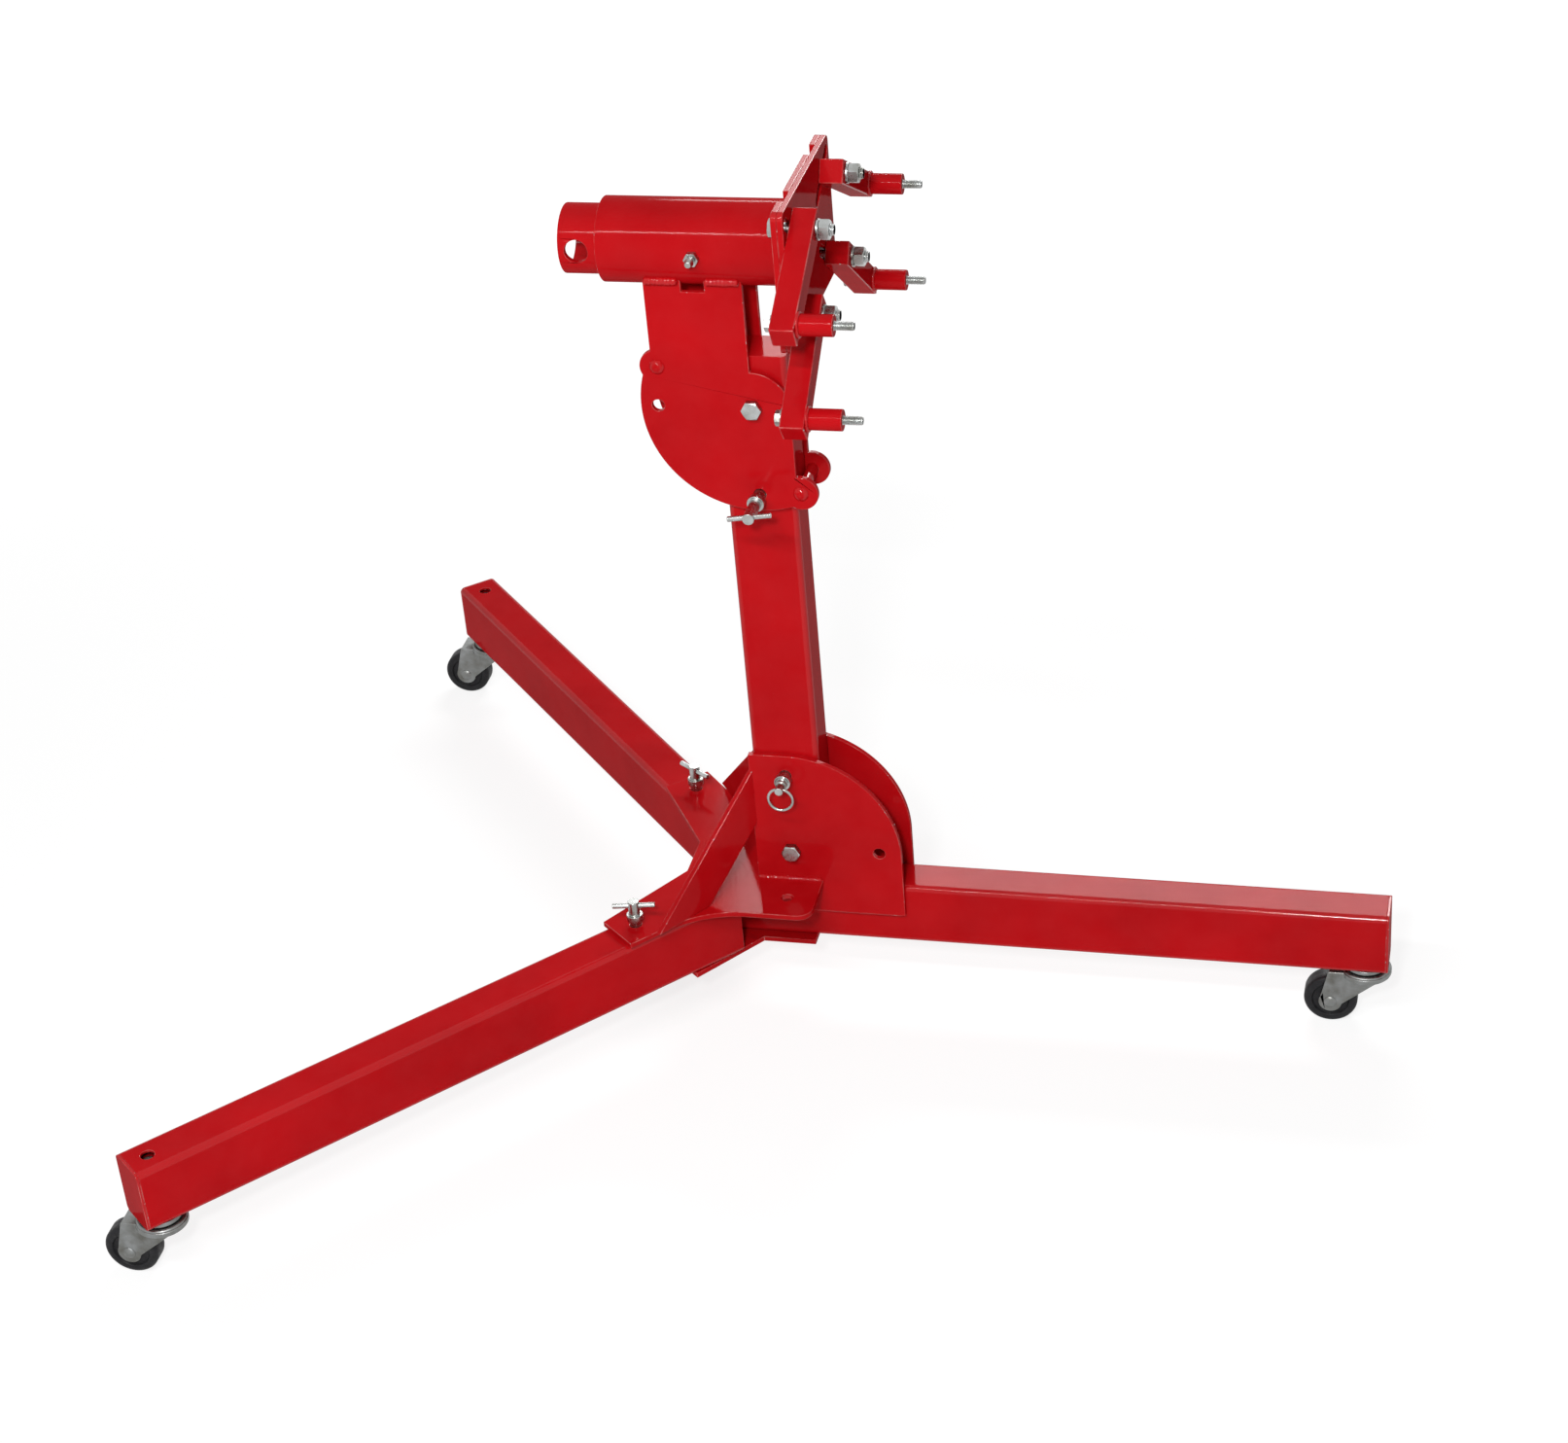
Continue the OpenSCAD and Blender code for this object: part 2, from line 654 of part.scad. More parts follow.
// Riveted axle with domed heads
module axle_body() {
  outer = wheel_width / 2 + cheek_gap + fork_sheet;
  ball = (axle_head * axle_head / 4 + axle_dome * axle_dome) / (2 * axle_dome);
  translate([-caster_trail, 0, wheel_r]) {
    cross_rod(axle_dia, -outer - eps, outer + eps);
    for (side = [near, far]) rotate([side == near ? 90 : -90, 0, 0]) translate([0, 0, outer]) intersection() {
      translate([0, 0, axle_dome - ball]) sphere(r = ball);
      cylinder(d = axle_head, h = axle_dome);
    }
  }
}

// Solid wheel with rounded tread and raised hub
module wheel_body() {
  half = wheel_width / 2;
  translate([-caster_trail, 0, wheel_r]) rotate([90, 0, 0]) difference() {
    union() {
      cylinder(r = wheel_r, h = wheel_width - 2 * tread_round, center = true);
      cylinder(r = wheel_r - tread_round, h = wheel_width, center = true);
      for (end = [-1, 1]) translate([0, 0, end * (half - tread_round)]) rotate_extrude()
        translate([wheel_r - tread_round, 0]) circle(r = tread_round);
    }
    cylinder(d = axle_dia + 2 * running_play, h = wheel_width + 2 * over, center = true);
  }
}

module front_fork() { color(zinc) at_front() fork_body(); }
module front_axle() { color(zinc) at_front() axle_body(); }
module front_wheel() { color(black) at_front() wheel_body(); }
module near_fork() { color(zinc) at_rear_caster(near) fork_body(); }
module near_axle() { color(zinc) at_rear_caster(near) axle_body(); }
module near_wheel() { color(black) at_rear_caster(near) wheel_body(); }
module far_fork() { color(zinc) at_rear_caster(far) fork_body(); }
module far_axle() { color(zinc) at_rear_caster(far) axle_body(); }
module far_wheel() { color(black) at_rear_caster(far) wheel_body(); }

// Mast tube, closed at the top, with its pivot and lock holes
module mast() {
  length = mast_below + mast_length + mast_above;
  color(paint) frame() at_mast() difference() {
    translate([0, 0, -mast_below]) {
      round_tube(mast_depth, mast_width, length - eps);
      translate([0, 0, length - tube_wall]) round_bar(mast_depth, mast_width, tube_corner, tube_wall);
    }
    cross_rod(hinge_hole, -leg_width, leg_width);
    translate([0, 0, lock_radius]) cross_rod(pin_hole, -leg_width, leg_width);
    translate([0, 0, mast_length]) cross_rod(hinge_hole, -leg_width, leg_width);
    translate([0, 0, mast_length - lock_radius]) cross_rod(pin_hole, -leg_width, leg_width);
  }
}

// Head plate outline about the head's pivot
module head_outline() {
  side_drop = sqrt(sleeve_dia * sleeve_dia / 4 - head_outer * head_outer);
  web_top = tube_rise - side_drop;
  difference() {
    union() {
      intersection() {
        circle(r = head_radius, $fn = fine);
        translate([-head_radius - over, -head_radius - over])
          square([head_radius + over, head_radius + over + stop_side]);
      }
      intersection() {
        circle(r = head_radius, $fn = fine);
        translate([-eps, -head_radius - over]) square([head_shoulder + eps, head_radius + over]);
      }
      circle(r = head_shoulder);
      translate([-head_back, 0]) square([head_back, tube_rise]);
      translate([stop_side, -stop_reach]) circle(r = stop_lobe);
      translate([-stop_reach, stop_side]) circle(r = stop_lobe);
    }
    translate([-relief_back - relief_width / 2, web_top - relief_depth]) square([relief_width, tube_rise]);
    circle(d = hinge_hole);
    translate([0, -lock_radius]) circle(d = pin_hole);
    translate([-lock_radius, 0]) circle(d = pin_hole);
    translate([stop_side, -stop_reach]) circle(d = stop_dia);
    translate([-stop_reach, stop_side]) circle(d = stop_dia);
  }
}

module head_plate(side) {
  y0 = side == near ? -head_outer : head_inner;
  color(paint) frame() difference() {
    at_head() upright(y0, plate_thick) head_outline();
    translate([-spindle_back, 0, tube_z]) rotate([0, 90, 0])
      cylinder(d = sleeve_dia, h = 2 * spindle_back, $fn = fine);
    translate([-spindle_back, -leg_width, tube_z]) cube([2 * spindle_back, 2 * leg_width, sleeve_dia]);
  }
}

module near_head_plate() { head_plate(near); }
module far_head_plate() { head_plate(far); }

module outer_tube() {
  color(paint) frame() translate([-sleeve_back, 0, tube_z]) rotate([0, 90, 0]) difference() {
    cylinder(d = sleeve_dia, h = sleeve_back + sleeve_front, $fn = fine);
    translate([0, 0, -over]) cylinder(d = sleeve_bore, h = sleeve_back + sleeve_front + 2 * over, $fn = fine);
  }
}

// Stop rods through both head plates, with domed ends
module stop_rods() {
  ball = (stop_head * stop_head / 4 + stop_dome * stop_dome) / (2 * stop_dome);
  color(paint) frame() at_head() for (place = [[stop_side, -stop_reach], [-stop_reach, stop_side]])
    translate([place[0], 0, place[1]]) {
      cross_rod(stop_dia, -head_outer, head_outer);
      for (side = [near, far]) rotate([side == near ? 90 : -90, 0, 0]) translate([0, 0, head_outer - eps])
        intersection() {
          translate([0, 0, stop_dome - ball]) sphere(r = ball);
          cylinder(d = stop_head, h = stop_dome);
        }
    }
}

// Grease fitting on the fixed tube's side: hex, neck and nozzle
module grease_fitting() {
  radius = sleeve_dia / 2;
  seat = sqrt(radius * radius - fitting_flats * fitting_flats / 3);
  tip = neck_height + nozzle_height;
  color(zinc) frame() translate([-fitting_back, 0, tube_z]) rotate([90, 0, 0]) difference() {
    union() {
      translate([0, 0, seat]) hex_solid(fitting_flats, radius - seat + fitting_hex);
      translate([0, 0, radius + fitting_hex - eps]) rotate_extrude() polygon([[0, 0], [neck_dia / 2, 0],
        [neck_dia / 2, neck_height], [nozzle_dia / 2, neck_height + (nozzle_dia - neck_dia) / 2],
        [tip_dia / 2, tip], [0, tip]]);
    }
    rotate([0, 90, 0]) cylinder(d = sleeve_dia, h = 2 * fitting_flats, center = true, $fn = fine);
  }
}

// Lock pin along +Z: the tip at 0, a collar, and an outer end
module pin_body(shank, out) {
  cylinder(d = pin_dia, h = shank + eps);
  translate([0, 0, shank]) cylinder(d = collar_dia, h = collar_thick);
  translate([0, 0, shank + collar_thick - eps]) cylinder(d = pin_dia, h = out - collar_thick);
}

// Lock pin with its cross bar pressed through the outer end
module cross_bar_pin(shank, out, turn) {
  level = shank + out - bar_inset;
  difference() {
    pin_body(shank, out);
    translate([0, 0, level]) rotate([0, 90, turn])
      cylinder(d = bar_dia + 2 * fastener_gap, h = 2 * pin_dia, center = true);
  }
  translate([0, 0, level]) rotate([0, 90, turn]) cylinder(d = bar_dia, h = bar_length, center = true);
}

// Mast's lock pin, drawn clear of the mast
module mast_pin() {
  tip = mast_width / 2 + pin_clear;
  shank = side_outer + mast_pin_travel + arm_gap - tip;
  color(zinc) frame() translate([0, -tip, mast_pivot_z + lock_radius]) rotate([90, 0, 0]) difference() {
    union() {
      pin_body(shank, mast_pin_out - 2 * bar_inset);
      translate([0, 0, shank + mast_pin_out - 2 * bar_inset - over])
        cylinder(d = ring_end_dia, h = 2 * bar_inset + over);
    }
    translate([0, 0, shank + mast_pin_out - bar_inset]) rotate([0, 90, 0])
      cylinder(d = ring_hole, h = 2 * pin_dia, center = true);
  }
}

// Pull ring hanging in the mast pin's cross hole
module pull_ring() {
  radius = (ring_dia - ring_wire) / 2;
  sag = radius - sqrt(radius * radius - ring_end_dia * ring_end_dia / 4);
  seat = side_outer + mast_pin_travel + arm_gap + mast_pin_out - bar_inset;
  color(zinc) frame() translate([0, -seat, mast_pivot_z + lock_radius - radius + sag / 2]) rotate([90, 0, 0])
    rotate_extrude() translate([radius, 0]) circle(d = ring_wire, $fn = wire_fine);
}

module head_pin() {
  tip = mast_width / 2 + pin_clear;
  shank = head_outer + head_pin_travel + arm_gap - tip;
  color(zinc) frame() at_head() translate([0, -tip, -lock_radius]) rotate([90, 0, 0])
    cross_bar_pin(shank, head_pin_out, head_bar_turn);
}

module leg_pin(side) {
  tip = leg_top - leg_play + pin_clear;
  shank = plate_top + leg_pin_travel + arm_gap - tip;
  spot = leg_lock_radius * [rear_dir[0], side * rear_dir[1]];
  color(zinc) frame() translate([-leg_pivot_back + spot[0], side * leg_pivot_side + spot[1], tip])
    cross_bar_pin(shank, leg_pin_out, side == near ? near_bar_turn : far_bar_turn);
}

module near_leg_pin() { leg_pin(near); }
module far_leg_pin() { leg_pin(far); }

// Turning tube with the turning-bar hole across its rear end
module inner_tube() {
  length = spindle_back + backing_face;
  color(paint) frame() translate([-spindle_back, 0, tube_z]) rotate([0, 90, 0]) difference() {
    cylinder(d = spindle_dia, h = length, $fn = fine);
    translate([0, 0, -over]) cylinder(d = spindle_dia - 2 * spindle_wall, h = length + 2 * over, $fn = fine);
    translate([0, 0, bar_hole_inset]) rotate([90, 0, 0])
      cylinder(d = bar_hole, h = 2 * spindle_dia, center = true);
  }
}

// Radial slot of one width, along +Y from r0 to r1, through the plate
module slot_cut(width, r0, r1, x0, thick) {
  translate([x0 - over, r0, -width / 2]) cube([thick + 2 * over, r1 - r0, width]);
  translate([x0 - over, r0, 0]) rotate([0, 90, 0]) cylinder(d = width, h = thick + 2 * over);
  translate([x0 - over, r1, 0]) rotate([0, 90, 0]) cylinder(d = width, h = thick + 2 * over);
}

module plate_blank(x0, thick) {
  translate([x0, 0, 0]) rotate([0, 90, 0]) round_bar(mount_height, mount_width, mount_corner, thick);
}

// Front plate with four slots
module mount_plate() {
  color(paint) frame() translate([0, 0, tube_z]) difference() {
    plate_blank(mount_back, mount_thick);
    for (turn = [slot_angle, 180 - slot_angle, 180 + slot_angle, -slot_angle]) rotate([turn, 0, 0])
      slot_cut(slot_width, slot_inner, slot_outer, mount_back, mount_thick);
  }
}

// Entry notch from a slot's line out to the backing plate's top or bottom edge
module entry_cut(side, level) {
  inner = entry_side - entry_width / 2;
  outer = entry_side + entry_width / 2;
  reach = mount_height / 2 + over;
  rise = tan(slot_angle);
  translate([backing_face - over, 0, 0]) rotate([90, 0, 90]) linear_extrude(height = plate_thick + 2 * over)
    polygon([[side * inner, level * inner * rise], [side * outer, level * outer * rise],
      [side * outer, level * reach], [side * inner, level * reach]]);
}

// Backing plate with a channel behind each slot and an entry notch into it
module backing_plate() {
  color(paint) frame() translate([0, 0, tube_z]) difference() {
    plate_blank(backing_face, plate_thick);
    for (turn = [slot_angle, 180 - slot_angle, 180 + slot_angle, -slot_angle]) rotate([turn, 0, 0])
      slot_cut(channel_width, slot_inner, slot_outer, backing_face, plate_thick);
    for (side = [near, far], level = [down, up]) entry_cut(side, level);
  }
}

function clamp_spot(side, level) = clamp_radius * [side * cos(slot_angle), level * sin(slot_angle)];
function arm_slope(level) = level == up ? upper_angle : lower_angle;
function slot_turn(side, level) = side == far ? level * slot_angle : 180 - level * slot_angle;
function arm_turn(side, level) = side == far ? -arm_slope(level) : 180 + arm_slope(level);

// Places an arm piece, drawn along +Y from its clamp bolt
module at_clamp(side, level) {
  spot = clamp_spot(side, level);
  frame() translate([0, spot[0], tube_z + spot[1]]) children();
}

module at_arm(side, level) {
  at_clamp(side, level) rotate([arm_turn(side, level), 0, 0]) children();
}

// Clamp bolt with a washer at each end and its nut
module clamp(side, level) {
  seat = backing_face - arm_gap;
  front = arm_front + arm_gap;
  head_face = seat - washer_thick - fastener_gap;
  nut_face = front + washer_thick + fastener_gap;
  eye = bolt_dia + 2 * fastener_gap;
  color(zinc) at_clamp(side, level) rotate([slot_turn(side, level), 0, 0]) {
    translate([head_face - bolt_head, 0, 0]) rotate([0, 90, 0]) rotate([0, 0, half_flat])
      hex_solid(bolt_flats, bolt_head);
    translate([head_face - eps, 0, 0]) rotate([0, 90, 0])
      cylinder(d = bolt_dia, h = nut_face + nut_height + bolt_past - head_face);
    for (ring = [[seat - washer_thick, backing_washer], [front, washer_dia]])
      translate([ring[0], 0, 0]) rotate([0, 90, 0]) difference() {
      cylinder(d = ring[1], h = washer_thick);
      translate([0, 0, -over]) cylinder(d = eye, h = washer_thick + 2 * over);
    }
    translate([nut_face, 0, 0]) rotate([0, 90, 0]) difference() {
      hex_solid(bolt_flats, nut_height);
      translate([0, 0, -over]) cylinder(d = eye, h = nut_height + 2 * over);
    }
  }
}

// Square arm bar with a hole for each bolt
module arm(side, level) {
  color(paint) at_arm(side, level) difference() {
    translate([arm_back, -arm_end, -arm_side / 2]) cube([arm_side, arm_span + 2 * arm_end, arm_side]);
    translate([arm_back - over, 0, 0]) rotate([0, 90, 0]) cylinder(d = hinge_hole, h = arm_side + 2 * over);
    translate([arm_back - over, arm_span, 0]) rotate([0, 90, 0])
      cylinder(d = engine_bolt + 2 * fastener_gap, h = arm_side + 2 * over);
  }
}

module standoff(side, level) {
  color(paint) at_arm(side, level) translate([arm_front, arm_span, 0]) rotate([0, 90, 0]) difference() {
    cylinder(d = standoff_dia, h = standoff_length);
    translate([0, 0, -over]) cylinder(d = engine_bolt + 2 * fastener_gap, h = standoff_length + 2 * over);
  }
}

// Engine bolt with its washer, standing out of the standoff
module engine_screw(side, level) {
  head_face = -engine_washer_thick - fastener_gap;
  shank = arm_side + standoff_length;
  color(zinc) at_arm(side, level) translate([arm_back, arm_span, 0]) rotate([0, 90, 0]) {
    translate([0, 0, -engine_washer_thick]) difference() {
      cylinder(d = engine_washer, h = engine_washer_thick);
      translate([0, 0, -over])
        cylinder(d = engine_bolt + 2 * fastener_gap, h = engine_washer_thick + 2 * over);
    }
    translate([0, 0, head_face - engine_head]) hex_solid(engine_flats, engine_head);
    translate([0, 0, head_face - eps]) cylinder(d = engine_bolt, h = shank - thread_relief - head_face + eps);
    translate([0, 0, shank - thread_relief - over]) cylinder(d = relief_dia, h = thread_relief + 2 * over);
    translate([0, 0, shank]) cylinder(d = engine_thread, h = engine_bolt_out);
  }
}

module nu_clamp() { clamp(near, up); }
module nu_arm() { arm(near, up); }
module nu_standoff() { standoff(near, up); }
module nu_engine_bolt() { engine_screw(near, up); }
module nl_clamp() { clamp(near, down); }
module nl_arm() { arm(near, down); }
module nl_standoff() { standoff(near, down); }
module nl_engine_bolt() { engine_screw(near, down); }
module fu_clamp() { clamp(far, up); }
module fu_arm() { arm(far, up); }
module fu_standoff() { standoff(far, up); }
module fu_engine_bolt() { engine_screw(far, up); }
module fl_clamp() { clamp(far, down); }
module fl_arm() { arm(far, down); }
module fl_standoff() { standoff(far, down); }
module fl_engine_bolt() { engine_screw(far, down); }

front_leg();
front_leg_cap();
near_side_plate();
far_side_plate();
top_plate();
bottom_plate();
near_gusset();
far_gusset();
mast_bolt();
mast_nut();
leg_bolts();
leg_nuts();
front_stem();
mast_pin();
pull_ring();
near_leg_pin();
far_leg_pin();
near_leg();
near_leg_cap();
near_stem();
far_leg();
far_leg_cap();
far_stem();
front_fork();
front_axle();
front_wheel();
near_fork();
near_axle();
near_wheel();
far_fork();
far_axle();
far_wheel();
mast();
near_head_plate();
far_head_plate();
outer_tube();
stop_rods();
grease_fitting();
head_bolt();
head_nut();
head_pin();
inner_tube();
backing_plate();
mount_plate();
nu_clamp();
nu_arm();
nu_standoff();
nu_engine_bolt();
nl_clamp();
nl_arm();
nl_standoff();
nl_engine_bolt();
fu_clamp();
fu_arm();
fu_standoff();
fu_engine_bolt();
fl_clamp();
fl_arm();
fl_standoff();
fl_engine_bolt();
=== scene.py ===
"""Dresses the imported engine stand: soft edges, fasteners, threads, weld beads, wheels, paint and studio."""
import json
import math

import bmesh
import bpy
from bpy.props import FloatProperty, FloatVectorProperty, PointerProperty
from mathutils import Matrix, Vector


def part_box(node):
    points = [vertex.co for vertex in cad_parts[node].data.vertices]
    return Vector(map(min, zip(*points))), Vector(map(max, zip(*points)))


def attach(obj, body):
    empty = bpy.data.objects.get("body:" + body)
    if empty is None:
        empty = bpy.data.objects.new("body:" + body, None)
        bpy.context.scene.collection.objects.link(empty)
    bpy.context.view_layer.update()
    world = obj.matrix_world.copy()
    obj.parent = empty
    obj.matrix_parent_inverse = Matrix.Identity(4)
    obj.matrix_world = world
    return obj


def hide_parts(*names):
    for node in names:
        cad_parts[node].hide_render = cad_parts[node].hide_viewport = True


bl_info = {
    "name": "Engine stand",
    "version": (1, 0, 0),
    "blender": (4, 5, 0),
    "location": "View3D > Sidebar > Engine stand",
    "description": "Paint, plating, fasteners, welds, wheels and studio for a folding engine stand",
    "category": "Object",
}

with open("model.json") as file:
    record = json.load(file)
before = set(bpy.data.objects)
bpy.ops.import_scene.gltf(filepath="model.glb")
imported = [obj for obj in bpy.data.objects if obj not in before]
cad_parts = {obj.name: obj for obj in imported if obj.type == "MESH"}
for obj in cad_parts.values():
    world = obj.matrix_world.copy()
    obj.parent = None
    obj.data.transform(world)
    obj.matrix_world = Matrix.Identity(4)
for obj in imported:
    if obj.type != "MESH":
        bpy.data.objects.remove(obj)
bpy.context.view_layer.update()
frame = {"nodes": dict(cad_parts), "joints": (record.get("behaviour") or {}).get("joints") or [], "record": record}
NODES = frame["nodes"]
RECORD = frame["record"]
BODY_OF = {node: body for body, nodes in RECORD["behaviour"]["bodies"].items() for node in nodes}
JOINTS = {joint["name"]: joint for joint in frame["joints"]}
MOUNTS = {mount["name"]: mount for mount in RECORD["mounts"]}

MM = 0.001
X_AXIS, Y_AXIS, Z_AXIS = Vector((1, 0, 0)), Vector((0, 1, 0)), Vector((0, 0, 1))
SIDES = {"near": -1, "far": 1}
ARMS = {"nu": "near_upper", "nl": "near_lower", "fu": "far_upper", "fl": "far_lower"}
CASTERS = ("front", "near", "far")
PAINTED_PLATES = ("near_side_plate", "far_side_plate", "top_plate", "bottom_plate", "near_gusset",
                  "far_gusset", "near_head_plate", "far_head_plate", "backing_plate", "mount_plate")
PAINTED_TUBES = ("front_leg", "front_leg_cap", "near_leg", "near_leg_cap", "far_leg", "far_leg_cap", "mast",
                 "outer_tube", "inner_tube", "stop_rods")
PLATED = ("mast_pin", "head_pin", "near_leg_pin", "far_leg_pin", "pull_ring", "grease_fitting")

# Edges that bend more than SHARP_BEND are rounded, in ROUND_STEPS steps
SHARP_BEND = math.radians(30)
ROUND_STEPS = 3
# Values of the "edge" attribute; tight edges, which get a pale painted highlight and chips, and tube corners are
# told apart by their bend radius
TIGHT_EDGE_RADIUS, TIGHT_EDGE_MARK = 2.5 * MM, 1.0
CORNER_RADIUS, CORNER_MARK = 9 * MM, 0.36
WELD_MARK = 0.4
# Colours on the enamel: pale bloom, a pale painted highlight on tight edges, specks of dust
BLOOM, EDGE_HIGHLIGHT, DUST = (0.66, 0.045, 0.05), (0.80, 0.40, 0.36), (0.62, 0.36, 0.32)
# Running gap of washers and nuts on their bolts
GAP = 0.05 * MM
NUT_GAP = 0.02 * MM
# Extra thread beyond a pivot bolt's nut
THREAD_SPARE = 6 * MM
# Diameter and thickness of the engine bolts' washers, and the length of their thread
ENGINE_WASHER, ENGINE_WASHER_THICK, ENGINE_THREAD = 20.6 * MM, 1.65 * MM, 20 * MM
# Stretches of the weld between head plate and fixed tube, along X from the head's pivot
TUBE_WELD_RUNS = ((-0.103, -0.067), (-0.038, -0.002))
# Lamps: place, aim, width, height; the key lamp's place counts from the camera
KEY_LAMP = ((-0.36, 0.02, 0.28), (0, 0, 0.45), 0.28, 0.28)
STRIP_LAMP = ((-0.25, -2.2, 2.8), (0.05, 0, 0.5), 1.7, 0.06)
WINDOW_LAMP = ((-0.15, 3.0, 2.3), (0, 0, 0.3), 1.7, 0.53)
# Distances from the stand between which the floor turns plain white, and the strength of that white
FLOOR_FADE = (1.2, 4.0)
FLOOR_WHITE = 1.15


class StandFinish(bpy.types.PropertyGroup):
    """Colours and edge sizes of the stand."""
    paint: FloatVectorProperty(name="Paint", description="Colour of the enamel", subtype="COLOR",
                               size=3, min=0, max=1, default=(0.485, 0.0032, 0.0062))
    plating: FloatVectorProperty(name="Plating", description="Colour of the zinc plating", subtype="COLOR",
                                 size=3, min=0, max=1, default=(0.42, 0.425, 0.42))
    rubber: FloatVectorProperty(name="Rubber", description="Colour of the wheels", subtype="COLOR",
                                size=3, min=0, max=1, default=(0.008, 0.008, 0.009))
    plate_edge: FloatProperty(name="Plate edges", description="Rounding of the plates' edges", unit="LENGTH",
                              default=0.8 * MM, min=0)
    tube_edge: FloatProperty(name="Tube edges", description="Rounding of the tubes' ends and holes",
                             unit="LENGTH", default=0.6 * MM, min=0)
    arm_edge: FloatProperty(name="Arm edges", description="Rounding of the arm bars", unit="LENGTH",
                            default=1.4 * MM, min=0)
    plated_edge: FloatProperty(name="Plated edges", description="Rounding of pins, stems and axles",
                               unit="LENGTH", default=0.7 * MM, min=0)
    fork_edge: FloatProperty(name="Fork edges", description="Rounding of the stamped forks", unit="LENGTH",
                             default=1.15 * MM, min=0)


class StandHardware(bpy.types.PropertyGroup):
    """Sizes of bolts, threads and weld beads."""
    flats: FloatProperty(name="Head width", description="Across the flats of the large bolts", unit="LENGTH",
                         default=19.05 * MM)
    head: FloatProperty(name="Head height", description="Height of the large bolts' heads", unit="LENGTH",
                        default=8 * MM)
    nut: FloatProperty(name="Nut height", description="Height of the large nuts", unit="LENGTH",
                       default=11 * MM)
    shank: FloatProperty(name="Bolt diameter", description="Diameter of the large bolts", unit="LENGTH",
                         default=12.7 * MM)
    pitch: FloatProperty(name="Thread pitch", description="Pitch of the large bolts", unit="LENGTH",
                         default=1.954 * MM)
    engine_flats: FloatProperty(name="Engine head width", description="Across the flats of the engine bolts",
                                unit="LENGTH", default=14.3 * MM)
    engine_head: FloatProperty(name="Engine head height", description="Height of the engine bolts' heads",
                               unit="LENGTH", default=6.1 * MM)
    engine_shank: FloatProperty(name="Engine bolt diameter", description="Diameter of the engine bolts",
                                unit="LENGTH", default=9.525 * MM)
    engine_pitch: FloatProperty(name="Engine thread pitch", description="Pitch of the engine bolts",
                                unit="LENGTH", default=1.5875 * MM)
    backing_washer: FloatProperty(name="Backing washer", unit="LENGTH", default=27 * MM,
                                  description="Diameter of the washers behind the turning plate")
    nut_washer: FloatProperty(name="Nut washer", description="Diameter of the washers under the clamp nuts",
                              unit="LENGTH", default=22 * MM)
    washer: FloatProperty(name="Washer thickness", description="Thickness of the clamp bolts' washers",
                          unit="LENGTH", default=2.5 * MM)
    raceway: FloatProperty(name="Raceway radius", description="Outer radius of the casters' rolled raceway",
                           unit="LENGTH", default=27.4 * MM)
    raceway_width: FloatProperty(name="Raceway width", description="Width of the casters' rolled raceway",
                                 unit="LENGTH", default=6.4 * MM)
    raceway_height: FloatProperty(name="Raceway height", description="Height of the casters' rolled raceway",
                                  unit="LENGTH", default=2.4 * MM)
    weld: FloatProperty(name="Weld bead", description="Radius of the weld beads", unit="LENGTH",
                        default=3.6 * MM)
    ripple: FloatProperty(name="Weld ripple", description="Length of one ripple of a bead", unit="LENGTH",
                          default=4.2 * MM)


class StandStage(bpy.types.PropertyGroup):
    """Camera, floor and lamps."""
    eye: FloatVectorProperty(name="Camera", description="Place of the camera", subtype="TRANSLATION", size=3,
                             default=(0.795647, -2.968471, 2.253256))
    yaw: FloatProperty(name="Yaw", description="Camera's heading", subtype="ANGLE",
                       default=math.radians(-15.426))
    pitch: FloatProperty(name="Pitch", description="Camera's downward tilt", subtype="ANGLE",
                         default=math.radians(31.681))
    roll: FloatProperty(name="Roll", description="Camera's roll", subtype="ANGLE",
                        default=math.radians(-5.061))
    lens: FloatProperty(name="Lens", description="Focal length in millimetres", default=74.27, min=1)
    floor: FloatProperty(name="Floor", description="Side of the floor", unit="LENGTH", default=40)
    key: FloatProperty(name="Key lamp", description="Power of the small lamp by the camera", subtype="POWER",
                       default=53)
    strip: FloatProperty(name="Strip lamp", description="Power of the long lamp above the camera",
                         subtype="POWER", default=42)
    window: FloatProperty(name="Window lamp", description="Power of the wide lamp behind the stand",
                          subtype="POWER", default=56)
    fill: FloatProperty(name="Ambient", description="Strength of the room's light", default=0.15)
    glow: FloatProperty(name="Floor glow", default=0.7, min=0, max=1,
                        description="Share of the floor by the stand that shows as plain white")


def new_material(name):
    """New material with its node tree and its shader."""
    material = bpy.data.materials.new(name)
    material.use_nodes = True
    tree = material.node_tree
    return material, tree, tree.nodes["Principled BSDF"]


def object_noise(tree, scale, detail, roughness=0.5):
    """Noise on Object coordinates."""
    place = tree.nodes.new("ShaderNodeTexCoord")
    noise = tree.nodes.new("ShaderNodeTexNoise")
    noise.inputs["Scale"].default_value = scale
    noise.inputs["Detail"].default_value = detail
    noise.inputs["Roughness"].default_value = roughness
    tree.links.new(place.outputs["Object"], noise.inputs["Vector"])
    return noise


def tinted(tree, noise, stops):
    """Colour ramp over a noise; stops are (position, colour)."""
    ramp = tree.nodes.new("ShaderNodeValToRGB")
    for index, (position, colour) in enumerate(stops):
        stop = ramp.color_ramp.elements[index] if index < 2 else ramp.color_ramp.elements.new(position)
        stop.position = position
        stop.color = (*colour, 1)
    tree.links.new(noise.outputs["Fac"], ramp.inputs["Fac"])
    return ramp


